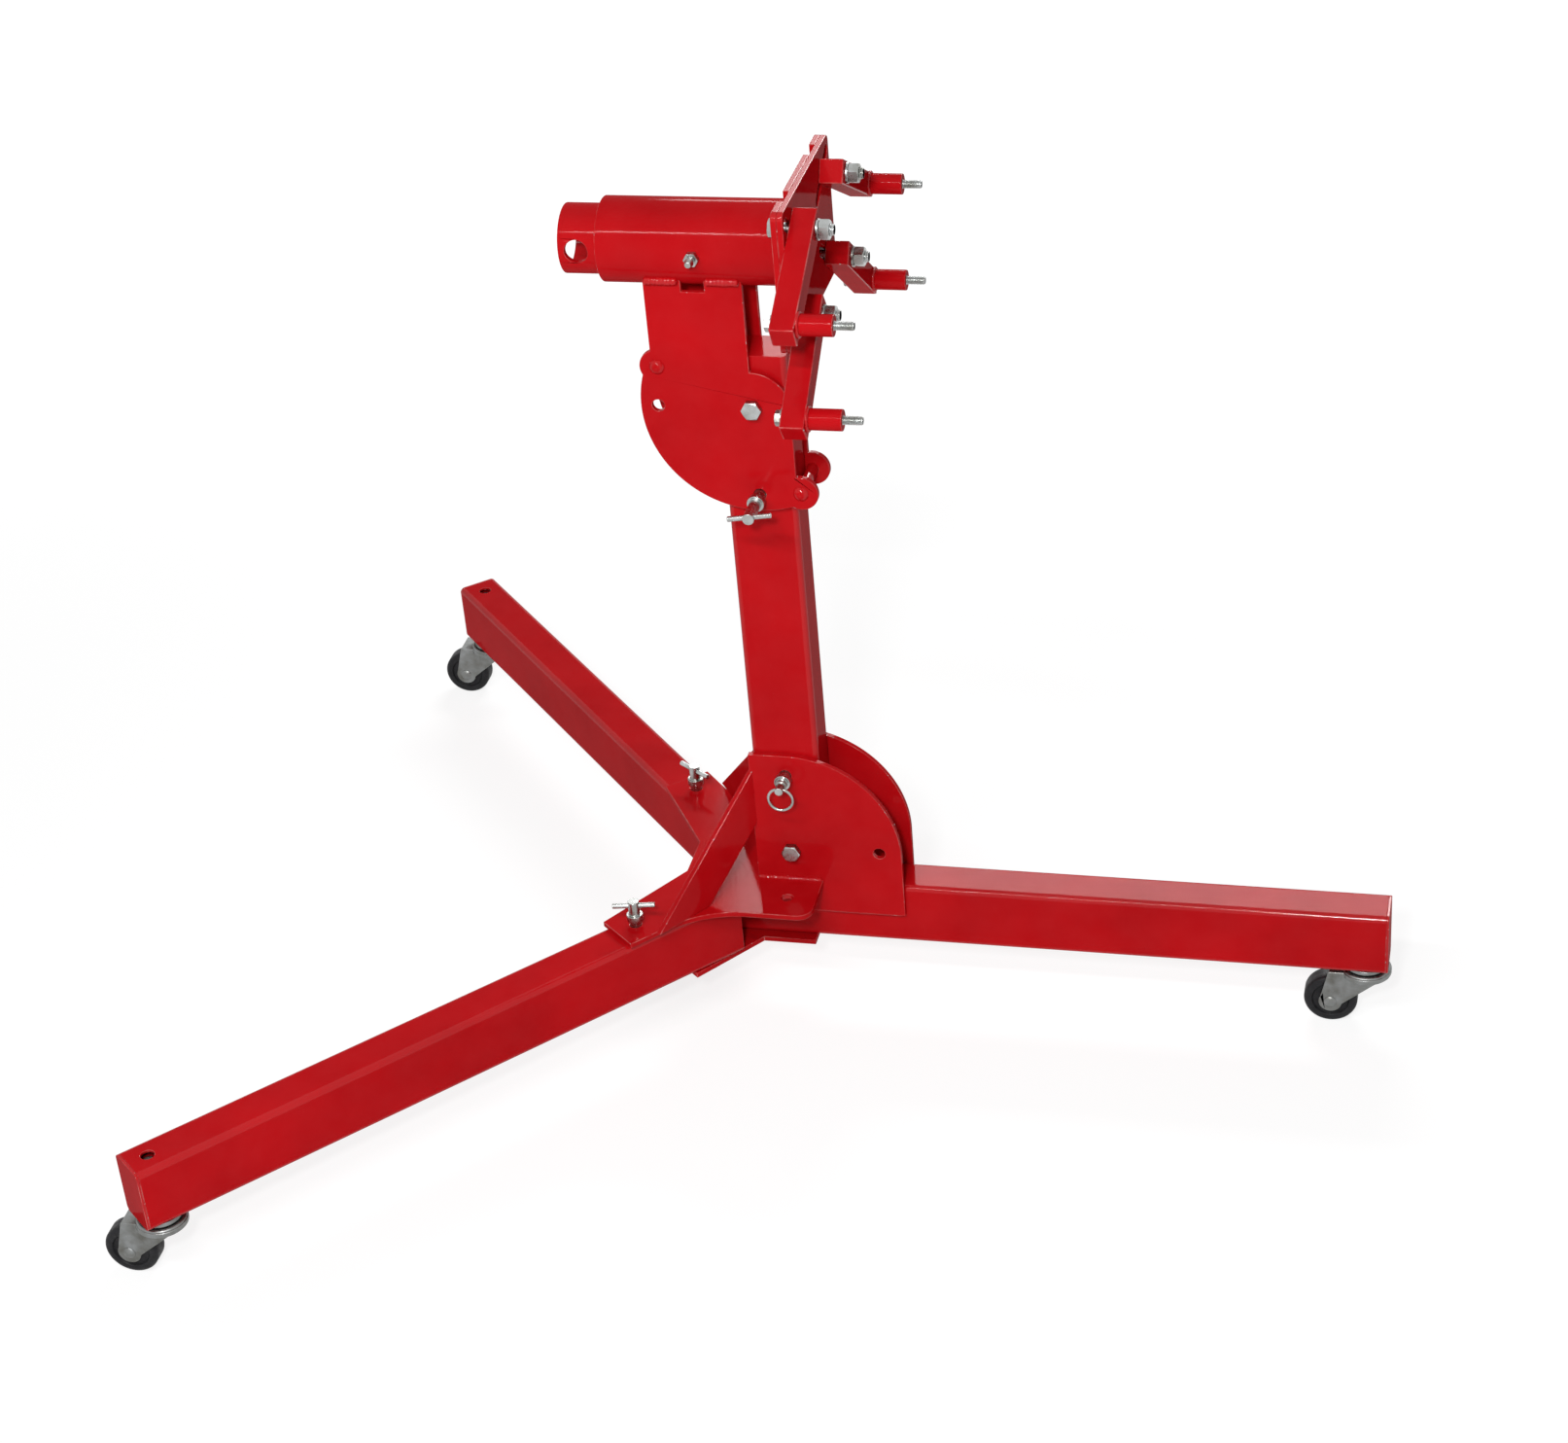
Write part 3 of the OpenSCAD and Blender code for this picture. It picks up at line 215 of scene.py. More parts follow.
def ranged(tree, noise, low, high):
    """Noise mapped to a range."""
    scale = tree.nodes.new("ShaderNodeMapRange")
    scale.inputs["From Min"].default_value = 0.3
    scale.inputs["From Max"].default_value = 0.7
    scale.inputs["To Min"].default_value = low
    scale.inputs["To Max"].default_value = high
    tree.links.new(noise.outputs["Fac"], scale.inputs["Value"])
    return scale


def bumped(tree, shader, noise, strength, depth):
    """Bump from a noise, on the shader's normal."""
    bump = tree.nodes.new("ShaderNodeBump")
    bump.inputs["Strength"].default_value = strength
    bump.inputs["Distance"].default_value = depth
    tree.links.new(noise.outputs["Fac"], bump.inputs["Height"])
    tree.links.new(bump.outputs["Normal"], shader.inputs["Normal"])
    return bump


def shade(colour, factor):
    """Colour made darker or lighter."""
    return tuple(min(1.0, channel * factor) for channel in colour)


def edge_mask(tree):
    """The piece's own edge attribute: 1 on tight edges, less on tube corners and welds, 0 on flats."""
    edge = tree.nodes.new("ShaderNodeAttribute")
    edge.attribute_name = "edge"
    return edge.outputs["Fac"]


def mixed(tree, factor, first, second):
    """Colour between two; the first is an output, the second a colour."""
    mix = tree.nodes.new("ShaderNodeMix")
    mix.data_type = "RGBA"
    tree.links.new(factor, mix.inputs["Factor"])
    tree.links.new(first, mix.inputs[6])
    mix.inputs[7].default_value = (*second, 1)
    return mix.outputs[2]


def red_enamel(finish):
    """Enamel with orange peel, uneven tone and dust; its edges are glossier and chipped, and tight edges carry a
    pale painted highlight in patches.
    """
    material, tree, shader = new_material("red_enamel")
    colour = tuple(finish.paint)
    clouds = tinted(tree, object_noise(tree, 7, 3), [(0.3, shade(colour, 0.86)), (0.7, shade(colour, 1.10))])
    bloom = ranged(tree, object_noise(tree, 30, 4, 0.58), 0.0, 0.09)
    tone = mixed(tree, bloom.outputs["Result"], clouds.outputs["Color"], BLOOM)
    edges = edge_mask(tree)
    # Tight edges get a pale painted highlight in patches, and chips of bare plating
    highlight_and_chip_edges = maths(tree, "GREATER_THAN", edges, 0.45)
    highlight_patches = ranged(tree, object_noise(tree, 34, 5, 0.6), -0.3, 0.4)
    base = mixed(tree, maths(tree, "MULTIPLY", highlight_and_chip_edges, highlight_patches.outputs["Result"]), tone, EDGE_HIGHLIGHT)
    chips = maths(tree, "GREATER_THAN", object_noise(tree, 170, 5, 0.6).outputs["Fac"], 0.66)
    base = mixed(tree, maths(tree, "MULTIPLY", chips, highlight_and_chip_edges), base, tuple(finish.plating))
    specks = maths(tree, "GREATER_THAN", object_noise(tree, 620, 3, 0.7).outputs["Fac"], 0.74)
    base = mixed(tree, maths(tree, "MULTIPLY", specks, 0.25), base, DUST)
    tree.links.new(base, shader.inputs["Base Color"])
    rough = ranged(tree, object_noise(tree, 38, 4), 0.22, 0.36)
    tree.links.new(rough.outputs["Result"], shader.inputs["Roughness"])
    peel = bumped(tree, shader, object_noise(tree, 240, 2), 0.12, 0.4 * MM)
    tree.links.new(peel.outputs["Normal"], shader.inputs["Coat Normal"])
    gloss = maths(tree, "MINIMUM", maths(tree, "ADD", edges, 0.10), 0.6)
    tree.links.new(gloss, shader.inputs["Coat Weight"])
    shader.inputs["Specular IOR Level"].default_value = 0.0
    shader.inputs["Coat Roughness"].default_value = 0.09
    return material


def zinc_plating(finish, name="zinc_plating", tone=1.0, rough=0.19):
    """Zinc plating with faint warm and blue clouds and fine grain."""
    material, tree, shader = new_material(name)
    red, green, blue = shade(finish.plating, tone)
    clouds = tinted(tree, object_noise(tree, 60, 4), [(0.3, shade((red, green * 0.985, blue * 0.9), 0.62)),
                                                      (0.7, shade((red * 0.96, green * 0.985, blue), 1.25))])
    tree.links.new(clouds.outputs["Color"], shader.inputs["Base Color"])
    grain = ranged(tree, object_noise(tree, 200, 4), rough, 2 * rough)
    tree.links.new(grain.outputs["Result"], shader.inputs["Roughness"])
    bumped(tree, shader, object_noise(tree, 900, 2), 0.05, 0.1 * MM)
    shader.inputs["Metallic"].default_value = 1.0
    return material


def caster_plating(finish):
    """Zinc of the stamped casters: rougher, and darker as painted shade for the dark surroundings that they
    mirror.
    """
    # Same zinc at about half the tone, as painted shade; the higher roughness is the casters' own
    return zinc_plating(finish, "caster_plating", 0.52, 0.26)


def wheel_rubber(finish):
    """Hard black rubber with a dusty bloom."""
    material, tree, shader = new_material("wheel_rubber")
    colour = tuple(finish.rubber)
    clouds = tinted(tree, object_noise(tree, 120, 4), [(0.35, colour), (0.75, shade(colour, 2.2))])
    tree.links.new(clouds.outputs["Color"], shader.inputs["Base Color"])
    rough = ranged(tree, object_noise(tree, 260, 3), 0.38, 0.6)
    tree.links.new(rough.outputs["Result"], shader.inputs["Roughness"])
    bumped(tree, shader, object_noise(tree, 900, 3), 0.12, 0.15 * MM)
    shader.inputs["Specular IOR Level"].default_value = 0.2
    return material


def finish_material(name):
    """The named material, made once."""
    makers = {"red_enamel": red_enamel, "zinc_plating": zinc_plating, "caster_plating": caster_plating,
              "wheel_rubber": wheel_rubber}
    return bpy.data.materials.get(name) or makers[name](bpy.context.scene.stand_finish)


def add_piece(name, mesh, material, body, replaced=(), sharp=30):
    """Puts a finished mesh in the scene and lets it ride on its body."""
    mesh.materials.clear()
    mesh.materials.append(finish_material(material))
    mesh.shade_smooth()
    mesh.set_sharp_from_angle(angle=math.radians(sharp))
    piece = bpy.data.objects.new(name, mesh)
    bpy.context.scene.collection.objects.link(piece)
    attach(piece, body)
    if replaced:
        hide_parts(*replaced)
    return piece


def edge_mark(face):
    """A face's "edge" value, from the radius that it is bent to."""
    longest = max(edge.calc_length() for edge in face.edges)
    bend = max(edge.calc_face_angle(0) for edge in face.edges if edge.calc_length() > 0.5 * longest)
    radius = face.calc_area() / longest / max(bend, 0.01)
    if radius < TIGHT_EDGE_RADIUS:
        return TIGHT_EDGE_MARK
    return CORNER_MARK if radius < CORNER_RADIUS else 0.0


def softened(node, width):
    """Copy of a CAD node with its sharp edges rounded and its rounded edges marked."""
    work = bmesh.new()
    work.from_mesh(NODES[node].data)
    bmesh.ops.remove_doubles(work, verts=work.verts, dist=0.002 * MM)
    bmesh.ops.dissolve_limit(work, angle_limit=math.radians(0.5), verts=work.verts, edges=work.edges)
    sharp = [edge for edge in work.edges if edge.is_manifold and edge.calc_face_angle(0) > SHARP_BEND]
    bmesh.ops.bevel(work, geom=sharp, offset=width, offset_type="OFFSET", segments=ROUND_STEPS, profile=0.5,
                    affect="EDGES", clamp_overlap=False, loop_slide=True)
    marks = {face: edge_mark(face) for face in work.faces}
    edge_layer = work.verts.layers.float.new("edge")
    for vert in work.verts:
        vert[edge_layer] = min((marks[face] for face in vert.link_faces), default=0.0)
    mesh = bpy.data.meshes.new(node + "_soft")
    work.to_mesh(mesh)
    work.free()
    if "custom_normal" in mesh.attributes:
        mesh.attributes.remove(mesh.attributes["custom_normal"])
    return mesh


def soften_nodes(nodes, material, width):
    """Puts a rounded, finished copy in place of each node."""
    for node in nodes:
        piece = add_piece("soft_" + node, softened(node, width), material, BODY_OF[node], [node], 55)
        flat = piece.modifiers.new("flat_faces", "WEIGHTED_NORMAL")
        flat.keep_sharp = True


def lathe(profile, steps=96):
    """Closed mesh turned about Z from (radius, height) points; radius 0 makes a pole."""
    work = bmesh.new()
    rings = []
    for radius, height in profile:
        if radius < 1e-9:
            rings.append([work.verts.new((0, 0, height))])
        else:
            rings.append([work.verts.new((radius * math.cos(turn), radius * math.sin(turn), height))
                          for turn in (2 * math.pi * i / steps for i in range(steps))])
    for low, high in zip(rings, rings[1:]):
        for i in range(steps):
            j = (i + 1) % steps
            if len(high) == 1:
                work.faces.new([low[i], low[j], high[0]])
            elif len(low) == 1:
                work.faces.new([low[0], high[j], high[i]])
            else:
                work.faces.new([low[i], low[j], high[j], high[i]])
    bmesh.ops.remove_doubles(work, verts=work.verts, dist=0.001 * MM)
    bmesh.ops.recalc_face_normals(work, faces=work.faces)
    return work


def hex_radius(flats, turn):
    """Distance from a hexagon's centre to its side; a flat faces turn 0."""
    sixth = math.pi / 3
    return flats / 2 / math.cos((turn + sixth / 2) % sixth - sixth / 2)


def hex_rings(flats, low, high, hole=0.0, chamfer_high=True, steps=72):
    """Hexagon along Z with turned corners; a hole makes it a nut."""
    work = bmesh.new()
    turned = 0.94 * flats / 2
    slope = math.tan(math.radians(30))
    lead = 0.4 * MM

    def ring(radius_at, height_at):
        verts = []
        for i in range(steps):
            turn = 2 * math.pi * i / steps
            radius = radius_at(turn)
            place = (radius * math.cos(turn), radius * math.sin(turn), height_at(radius))
            verts.append(work.verts.new(place))
        return verts

    def side(turn):
        return hex_radius(flats, turn)

    def drop(radius):
        return max(0.0, radius - turned) * slope

    rings = []
    if hole:
        rings.append(ring(lambda turn: hole, lambda radius: low + lead))
        rings.append(ring(lambda turn: hole + lead, lambda radius: low))
    rings.append(ring(lambda turn: turned, lambda radius: low))
    rings.append(ring(side, lambda radius: low + drop(radius)))
    rings.append(ring(side, lambda radius: high - (drop(radius) if chamfer_high else 0.0)))
    rings.append(ring(lambda turn: turned, lambda radius: high))
    if hole:
        rings.append(ring(lambda turn: hole + lead, lambda radius: high))
        rings.append(ring(lambda turn: hole, lambda radius: high - lead))
        rings.append(rings[0])
    for one, two in zip(rings, rings[1:]):
        for i in range(steps):
            j = (i + 1) % steps
            work.faces.new([one[i], one[j], two[j], two[i]])
    if not hole:
        work.faces.new(list(reversed(rings[0])))
        work.faces.new(rings[-1])
    bmesh.ops.recalc_face_normals(work, faces=work.faces)
    return work


def to_mesh(name, parts):
    """One mesh from several (bmesh or mesh, matrix) parts."""
    whole = bmesh.new()
    for part, matrix in parts:
        if isinstance(part, bmesh.types.BMesh):
            held = bpy.data.meshes.new("part")
            part.to_mesh(held)
            part.free()
        else:
            held = part.copy()
        held.transform(matrix)
        whole.from_mesh(held)
        bpy.data.meshes.remove(held)
    mesh = bpy.data.meshes.new(name)
    whole.to_mesh(mesh)
    whole.free()
    return mesh


def new_tree(name, inputs):
    """Geometry node group with a geometry in and out and named inputs."""
    tree = bpy.data.node_groups.new(name, "GeometryNodeTree")
    tree.interface.new_socket("Geometry", in_out="INPUT", socket_type="NodeSocketGeometry")
    for label, kind, value in inputs:
        socket = tree.interface.new_socket(label, in_out="INPUT", socket_type=kind)
        if value is not None:
            socket.default_value = value
    tree.interface.new_socket("Geometry", in_out="OUTPUT", socket_type="NodeSocketGeometry")
    return tree, tree.nodes.new("NodeGroupInput"), tree.nodes.new("NodeGroupOutput")


def maths(tree, operation, *values):
    """Math node; each value is a number or an output socket."""
    node = tree.nodes.new("ShaderNodeMath")
    node.operation = operation
    for index, value in enumerate(values):
        if isinstance(value, bpy.types.NodeSocket):
            tree.links.new(value, node.inputs[index])
        else:
            node.inputs[index].default_value = value
    return node.outputs[0]


def finish_tree(tree, result, given, out):
    """Ends a tree in Realize Instances and Set Material."""
    real = tree.nodes.new("GeometryNodeRealizeInstances")
    paint = tree.nodes.new("GeometryNodeSetMaterial")
    tree.links.new(result, real.inputs["Geometry"])
    tree.links.new(real.outputs["Geometry"], paint.inputs["Geometry"])
    tree.links.new(given.outputs["Material"], paint.inputs["Material"])
    tree.links.new(paint.outputs["Geometry"], out.inputs["Geometry"])


def thread_tree():
    """Cylinder wall with a helical V thread, from a grid wrapped round Z."""
    tree, given, out = new_tree("thread", [
        ("Radius", "NodeSocketFloat", 0.00635), ("Depth", "NodeSocketFloat", 0.001),
        ("Pitch", "NodeSocketFloat", 0.00195), ("Length", "NodeSocketFloat", 0.02),
        ("Rows", "NodeSocketInt", 80), ("Material", "NodeSocketMaterial", None)])
    grid = tree.nodes.new("GeometryNodeMeshGrid")
    grid.inputs["Size X"].default_value = 1
    grid.inputs["Size Y"].default_value = 1
    grid.inputs["Vertices X"].default_value = 37
    tree.links.new(given.outputs["Rows"], grid.inputs["Vertices Y"])
    place = tree.nodes.new("GeometryNodeInputPosition")
    split = tree.nodes.new("ShaderNodeSeparateXYZ")
    tree.links.new(place.outputs[0], split.inputs[0])
    around = maths(tree, "ADD", split.outputs["X"], 0.5)
    along = maths(tree, "ADD", split.outputs["Y"], 0.5)
    height = maths(tree, "MULTIPLY", along, given.outputs["Length"])
    phase = maths(tree, "SUBTRACT", maths(tree, "DIVIDE", height, given.outputs["Pitch"]), around)
    ridge = maths(tree, "MULTIPLY", maths(tree, "PINGPONG", phase, 0.5), 2)
    left = maths(tree, "SUBTRACT", given.outputs["Length"], height)
    turns_left = maths(tree, "DIVIDE", left, given.outputs["Pitch"])
    ridge = maths(tree, "MULTIPLY", ridge, maths(tree, "MINIMUM", turns_left, 1.0))
    root = maths(tree, "SUBTRACT", given.outputs["Radius"], given.outputs["Depth"])
    radius = maths(tree, "ADD", root, maths(tree, "MULTIPLY", ridge, given.outputs["Depth"]))
    turn = maths(tree, "MULTIPLY", around, 2 * math.pi)
    joined = tree.nodes.new("ShaderNodeCombineXYZ")
    tree.links.new(maths(tree, "MULTIPLY", radius, maths(tree, "COSINE", turn)), joined.inputs["X"])
    tree.links.new(maths(tree, "MULTIPLY", radius, maths(tree, "SINE", turn)), joined.inputs["Y"])
    tree.links.new(height, joined.inputs["Z"])
    move = tree.nodes.new("GeometryNodeSetPosition")
    tree.links.new(grid.outputs["Mesh"], move.inputs["Geometry"])
    tree.links.new(joined.outputs[0], move.inputs["Position"])
    seam = tree.nodes.new("GeometryNodeMergeByDistance")
    seam.inputs["Distance"].default_value = 0.001 * MM
    tree.links.new(move.outputs["Geometry"], seam.inputs["Geometry"])
    finish_tree(tree, seam.outputs["Geometry"], given, out)
    return tree


def bead_tree():
    """Weld bead with uneven ripples along a path."""
    tree, given, out = new_tree("weld_bead", [
        ("Radius", "NodeSocketFloat", 0.003), ("Ripple", "NodeSocketFloat", 0.0042),
        ("Seed", "NodeSocketFloat", 0.0), ("Material", "NodeSocketMaterial", None)])
    path = tree.nodes.new("GeometryNodeMeshToCurve")
    tree.links.new(given.outputs["Geometry"], path.inputs["Mesh"])
    even = tree.nodes.new("GeometryNodeResampleCurve")
    even.mode = "LENGTH"
    tree.links.new(path.outputs["Curve"], even.inputs["Curve"])
    tree.links.new(maths(tree, "DIVIDE", given.outputs["Ripple"], 6.0), even.inputs["Length"])
    spot = tree.nodes.new("GeometryNodeSplineParameter")
    wave = maths(tree, "ABSOLUTE", maths(tree, "SINE", maths(
        tree, "MULTIPLY", maths(tree, "DIVIDE", spot.outputs["Length"], given.outputs["Ripple"]), math.pi)))
    noise = tree.nodes.new("ShaderNodeTexNoise")
    noise.noise_dimensions = "4D"
    noise.inputs["Scale"].default_value = 90
    tree.links.new(given.outputs["Seed"], noise.inputs["W"])
    ends = maths(tree, "MULTIPLY", maths(tree, "MULTIPLY", spot.outputs["Factor"],
                                         maths(tree, "SUBTRACT", 1.0, spot.outputs["Factor"])), 40)
    swell = maths(tree, "ADD", 0.66, maths(tree, "ADD", maths(tree, "MULTIPLY", wave, 0.14),
                                           maths(tree, "MULTIPLY", noise.outputs["Fac"], 0.36)))
    radius = maths(tree, "MULTIPLY", maths(tree, "MULTIPLY", swell, given.outputs["Radius"]),
                   maths(tree, "MAXIMUM", maths(tree, "MINIMUM", ends, 1.0), 0.35))
    ring = tree.nodes.new("GeometryNodeCurvePrimitiveCircle")
    ring.inputs["Resolution"].default_value = 14
    ring.inputs["Radius"].default_value = 1
    sweep = tree.nodes.new("GeometryNodeCurveToMesh")
    sweep.inputs["Fill Caps"].default_value = True
    tree.links.new(even.outputs["Curve"], sweep.inputs["Curve"])
    tree.links.new(ring.outputs["Curve"], sweep.inputs["Profile Curve"])
    tree.links.new(radius, sweep.inputs["Scale"])
    finish_tree(tree, sweep.outputs["Mesh"], given, out)
    return tree


def scatter_tree():
    """One master mesh on every point, turned by the point's own rotation."""
    tree, given, out = new_tree("fasteners", [("Master", "NodeSocketObject", None),
                                              ("Material", "NodeSocketMaterial", None)])
    master = tree.nodes.new("GeometryNodeObjectInfo")
    tree.links.new(given.outputs["Master"], master.inputs["Object"])
    turn = tree.nodes.new("GeometryNodeInputNamedAttribute")
    turn.data_type = "FLOAT_VECTOR"
    turn.inputs["Name"].default_value = "turn"
    rotation = tree.nodes.new("FunctionNodeEulerToRotation")
    tree.links.new(turn.outputs["Attribute"], rotation.inputs[0])
    put = tree.nodes.new("GeometryNodeInstanceOnPoints")
    tree.links.new(given.outputs["Geometry"], put.inputs["Points"])
    tree.links.new(master.outputs["Geometry"], put.inputs["Instance"])
    tree.links.new(rotation.outputs[0], put.inputs["Rotation"])
    finish_tree(tree, put.outputs["Instances"], given, out)
    return tree


def grown(name, tree, mesh, **inputs):
    """Plain mesh that a node tree makes from a starting mesh."""
    carrier = bpy.data.objects.new(name + "_carrier", mesh)
    bpy.context.scene.collection.objects.link(carrier)
    modifier = carrier.modifiers.new("nodes", "NODES")
    modifier.node_group = tree
    for item in tree.interface.items_tree:
        if item.in_out == "INPUT" and item.name in inputs:
            modifier[item.identifier] = inputs[item.name]
    ready = carrier.evaluated_get(bpy.context.evaluated_depsgraph_get())
    result = bpy.data.meshes.new_from_object(ready)
    result.name = name
    bpy.data.objects.remove(carrier)
    return result


def tree_named(name, maker):
    """The named node tree, made once."""
    return bpy.data.node_groups.get(name) or maker()


def thread_mesh(radius, depth, pitch, length):
    """Threaded shell with both ends closed."""
    rows = max(8, int(8 * length / pitch))
    mesh = grown("thread", tree_named("thread", thread_tree), bpy.data.meshes.new("start"), Radius=radius,
                 Depth=depth, Pitch=pitch, Length=length, Rows=rows, Material=finish_material("zinc_plating"))
    work = bmesh.new()
    work.from_mesh(mesh)
    bmesh.ops.holes_fill(work, edges=[edge for edge in work.edges if edge.is_boundary])
    bmesh.ops.recalc_face_normals(work, faces=work.faces)
    work.to_mesh(mesh)
    work.free()
    return mesh


def rod(radius, low, high, chamfer=0.6 * MM):
    """Plain round rod along Z with chamfered ends."""
    return lathe([(0, low), (radius - chamfer, low), (radius, low + chamfer), (radius, high - chamfer),
                  (radius - chamfer, high), (0, high)], 48)


def bolt_parts(flats, head, shank, length, pitch, threaded):
    """Hex bolt along +Z with its head's seat at 0."""
    here = Matrix.Identity(4)
    depth = 0.55 * pitch
    plain = length - threaded
    return [(hex_rings(flats, -head, -0.4 * MM, chamfer_high=False), here),
            (lathe([(0, -0.5 * MM), (0.46 * flats, -0.5 * MM), (0.46 * flats, 0), (0, 0)], 48), here),
            (rod(shank / 2, -0.2 * MM, plain, 0.3 * MM), here),
            (rod(shank / 2 - depth, plain - 1 * MM, length, 0.2 * MM), here),
            (thread_mesh(shank / 2, depth, pitch, threaded), Matrix.Translation((0, 0, plain)))]


def pivot_bolt(name, sizes, length):
    """Large bolt along +Z whose thread ends a little behind its nut."""
    return to_mesh(name, bolt_parts(sizes.flats, sizes.head, sizes.shank, length, sizes.pitch,
                                    sizes.nut + THREAD_SPARE))


def large_nut(sizes, low, high):
    """Nut of the large bolts, along Z."""
    return hex_rings(sizes.flats, low, high, sizes.shank / 2 + NUT_GAP), Matrix.Identity(4)


def washer_parts(dia, hole, low, high):
    """Flat washer round Z with broken outer edges."""
    edge = 0.3 * MM
    profile = [(hole, low), (dia / 2 - edge, low), (dia / 2, low + edge), (dia / 2, high - edge),
               (dia / 2 - edge, high), (hole, high), (hole, low)]
    return [(lathe(profile, 64), Matrix.Identity(4))]


def basis(along, across):
    """Rotation that lays Z along one direction and X along another."""
    z_dir = along.normalized()
    x_dir = (across - z_dir * across.dot(z_dir)).normalized()
    return Matrix((x_dir, z_dir.cross(x_dir), z_dir)).transposed()


def scatter(name, master, spots, body, replaced):
    """Puts a master mesh on spots, each a (place, along, across), as one piece."""
    points = bpy.data.meshes.new(name + "_points")
    points.from_pydata([tuple(spot[0]) for spot in spots], [], [])
    turns = points.attributes.new("turn", "FLOAT_VECTOR", "POINT")
    for index, (_, along, across) in enumerate(spots):
        turns.data[index].vector = basis(along, across).to_euler()
    holder = bpy.data.objects.new("master", master)
    bpy.context.scene.collection.objects.link(holder)
    mesh = grown(name, tree_named("fasteners", scatter_tree), points, Master=holder,
                 Material=finish_material("zinc_plating"))
    bpy.data.objects.remove(holder)
    return add_piece(name, mesh, "zinc_plating", body, replaced)


def middle(node):
    """Centre of a node's box."""
    low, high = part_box(node)
    return (low + high) / 2


class STAND_OT_paint_frame(bpy.types.Operator):
    """Rounds and paints the welded tubes and plates"""
    bl_idname = "engine_stand.paint_frame"
    bl_label = "Painted frame"

    def execute(self, context):
        finish = context.scene.stand_finish
        soften_nodes(PAINTED_PLATES, "red_enamel", finish.plate_edge)
        soften_nodes(PAINTED_TUBES, "red_enamel", finish.tube_edge)
        return {"FINISHED"}


class STAND_OT_arms(bpy.types.Operator):
    """Rounds and paints the four arms and their standoffs"""
    bl_idname = "engine_stand.arms"
    bl_label = "Arms"

    def execute(self, context):
        finish = context.scene.stand_finish
        soften_nodes([arm + "_arm" for arm in ARMS], "red_enamel", finish.arm_edge)
        soften_nodes([arm + "_standoff" for arm in ARMS], "red_enamel", finish.tube_edge)
        return {"FINISHED"}


class STAND_OT_plated_parts(bpy.types.Operator):
    """Rounds and plates the pins, ring and grease fitting"""
    bl_idname = "engine_stand.plated_parts"
    bl_label = "Pins"

    def execute(self, context):
        soften_nodes(PLATED, "zinc_plating", context.scene.stand_finish.plated_edge)
        return {"FINISHED"}


class STAND_OT_casters(bpy.types.Operator):
    """Rounds and plates the casters' stems, forks and axles and rolls the crowns' raceways"""
    bl_idname = "engine_stand.casters"
    bl_label = "Casters"

    def raceway(self, caster, sizes):
        """Rolled ring on the fork's crown, round the swivel race."""
        centre = Vector(JOINTS[caster + "_swivel"]["pos_m"])
        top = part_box(caster + "_fork")[1].z
        half = sizes.raceway_width / 2
        middle_radius = sizes.raceway - half
        arc = [(middle_radius - half * math.cos(turn), sizes.raceway_height * math.sin(turn))
               for turn in (math.pi * i / 12 for i in range(13))]
        sunk = -0.3 * MM
        ring = lathe([(arc[0][0], sunk), *arc, (arc[-1][0], sunk), (arc[0][0], sunk)])
        place = Matrix.Translation((centre.x, centre.y, top))
        add_piece(caster + "_raceway", to_mesh(caster + "_raceway", [(ring, place)]), "caster_plating",
                  BODY_OF[caster + "_fork"], (), 50)

    def execute(self, context):
        finish = context.scene.stand_finish
        for caster in CASTERS:
            self.raceway(caster, context.scene.stand_hardware)
        soften_nodes([caster + "_fork" for caster in CASTERS], "caster_plating", finish.fork_edge)
        soften_nodes([caster + part for caster in CASTERS for part in ("_stem", "_axle")], "caster_plating",
                     finish.plated_edge)
        return {"FINISHED"}


class STAND_OT_pivot_bolts(bpy.types.Operator):
    """Makes the pivot bolts and nuts of mast, head and rear legs"""
    bl_idname = "engine_stand.pivot_bolts"
    bl_label = "Pivot bolts"

    def execute(self, context):
        sizes = context.scene.stand_hardware
        for group, joint, body in (("mast", "mast_fold", "base"), ("head", "head_tilt", "head")):
            low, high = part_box(group + "_bolt")
            centre = Vector(JOINTS[joint]["pos_m"])
            seat = low.y + sizes.head
            bolt = pivot_bolt(group + "_bolt_master", sizes, high.y - seat)
            scatter(group + "_bolt_plated", bolt, [((centre.x, seat, centre.z), Y_AXIS, Z_AXIS)], body,
                    [group + "_bolt"])
            nut_low, nut_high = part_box(group + "_nut")
            nut = to_mesh(group + "_nut_master", [large_nut(sizes, 0, nut_high.y - nut_low.y)])
            scatter(group + "_nut_plated", nut, [((centre.x, nut_low.y, centre.z), Y_AXIS, Z_AXIS)], body,
                    [group + "_nut"])
        low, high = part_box("leg_bolts")
        seat = high.z - sizes.head
        bolt = pivot_bolt("leg_bolt_master", sizes, seat - low.z)
        pivots = [Vector(JOINTS[side + "_leg_fold"]["pos_m"]) for side in SIDES]
        scatter("leg_bolts_plated", bolt, [((p.x, p.y, seat), -Z_AXIS, X_AXIS) for p in pivots], "base",
                ["leg_bolts"])
        nut_low, nut_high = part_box("leg_nuts")
        nut = to_mesh("leg_nut_master", [large_nut(sizes, 0, nut_high.z - nut_low.z)])
        scatter("leg_nuts_plated", nut, [((p.x, p.y, nut_low.z), Z_AXIS, X_AXIS) for p in pivots], "base",
                ["leg_nuts"])
        return {"FINISHED"}


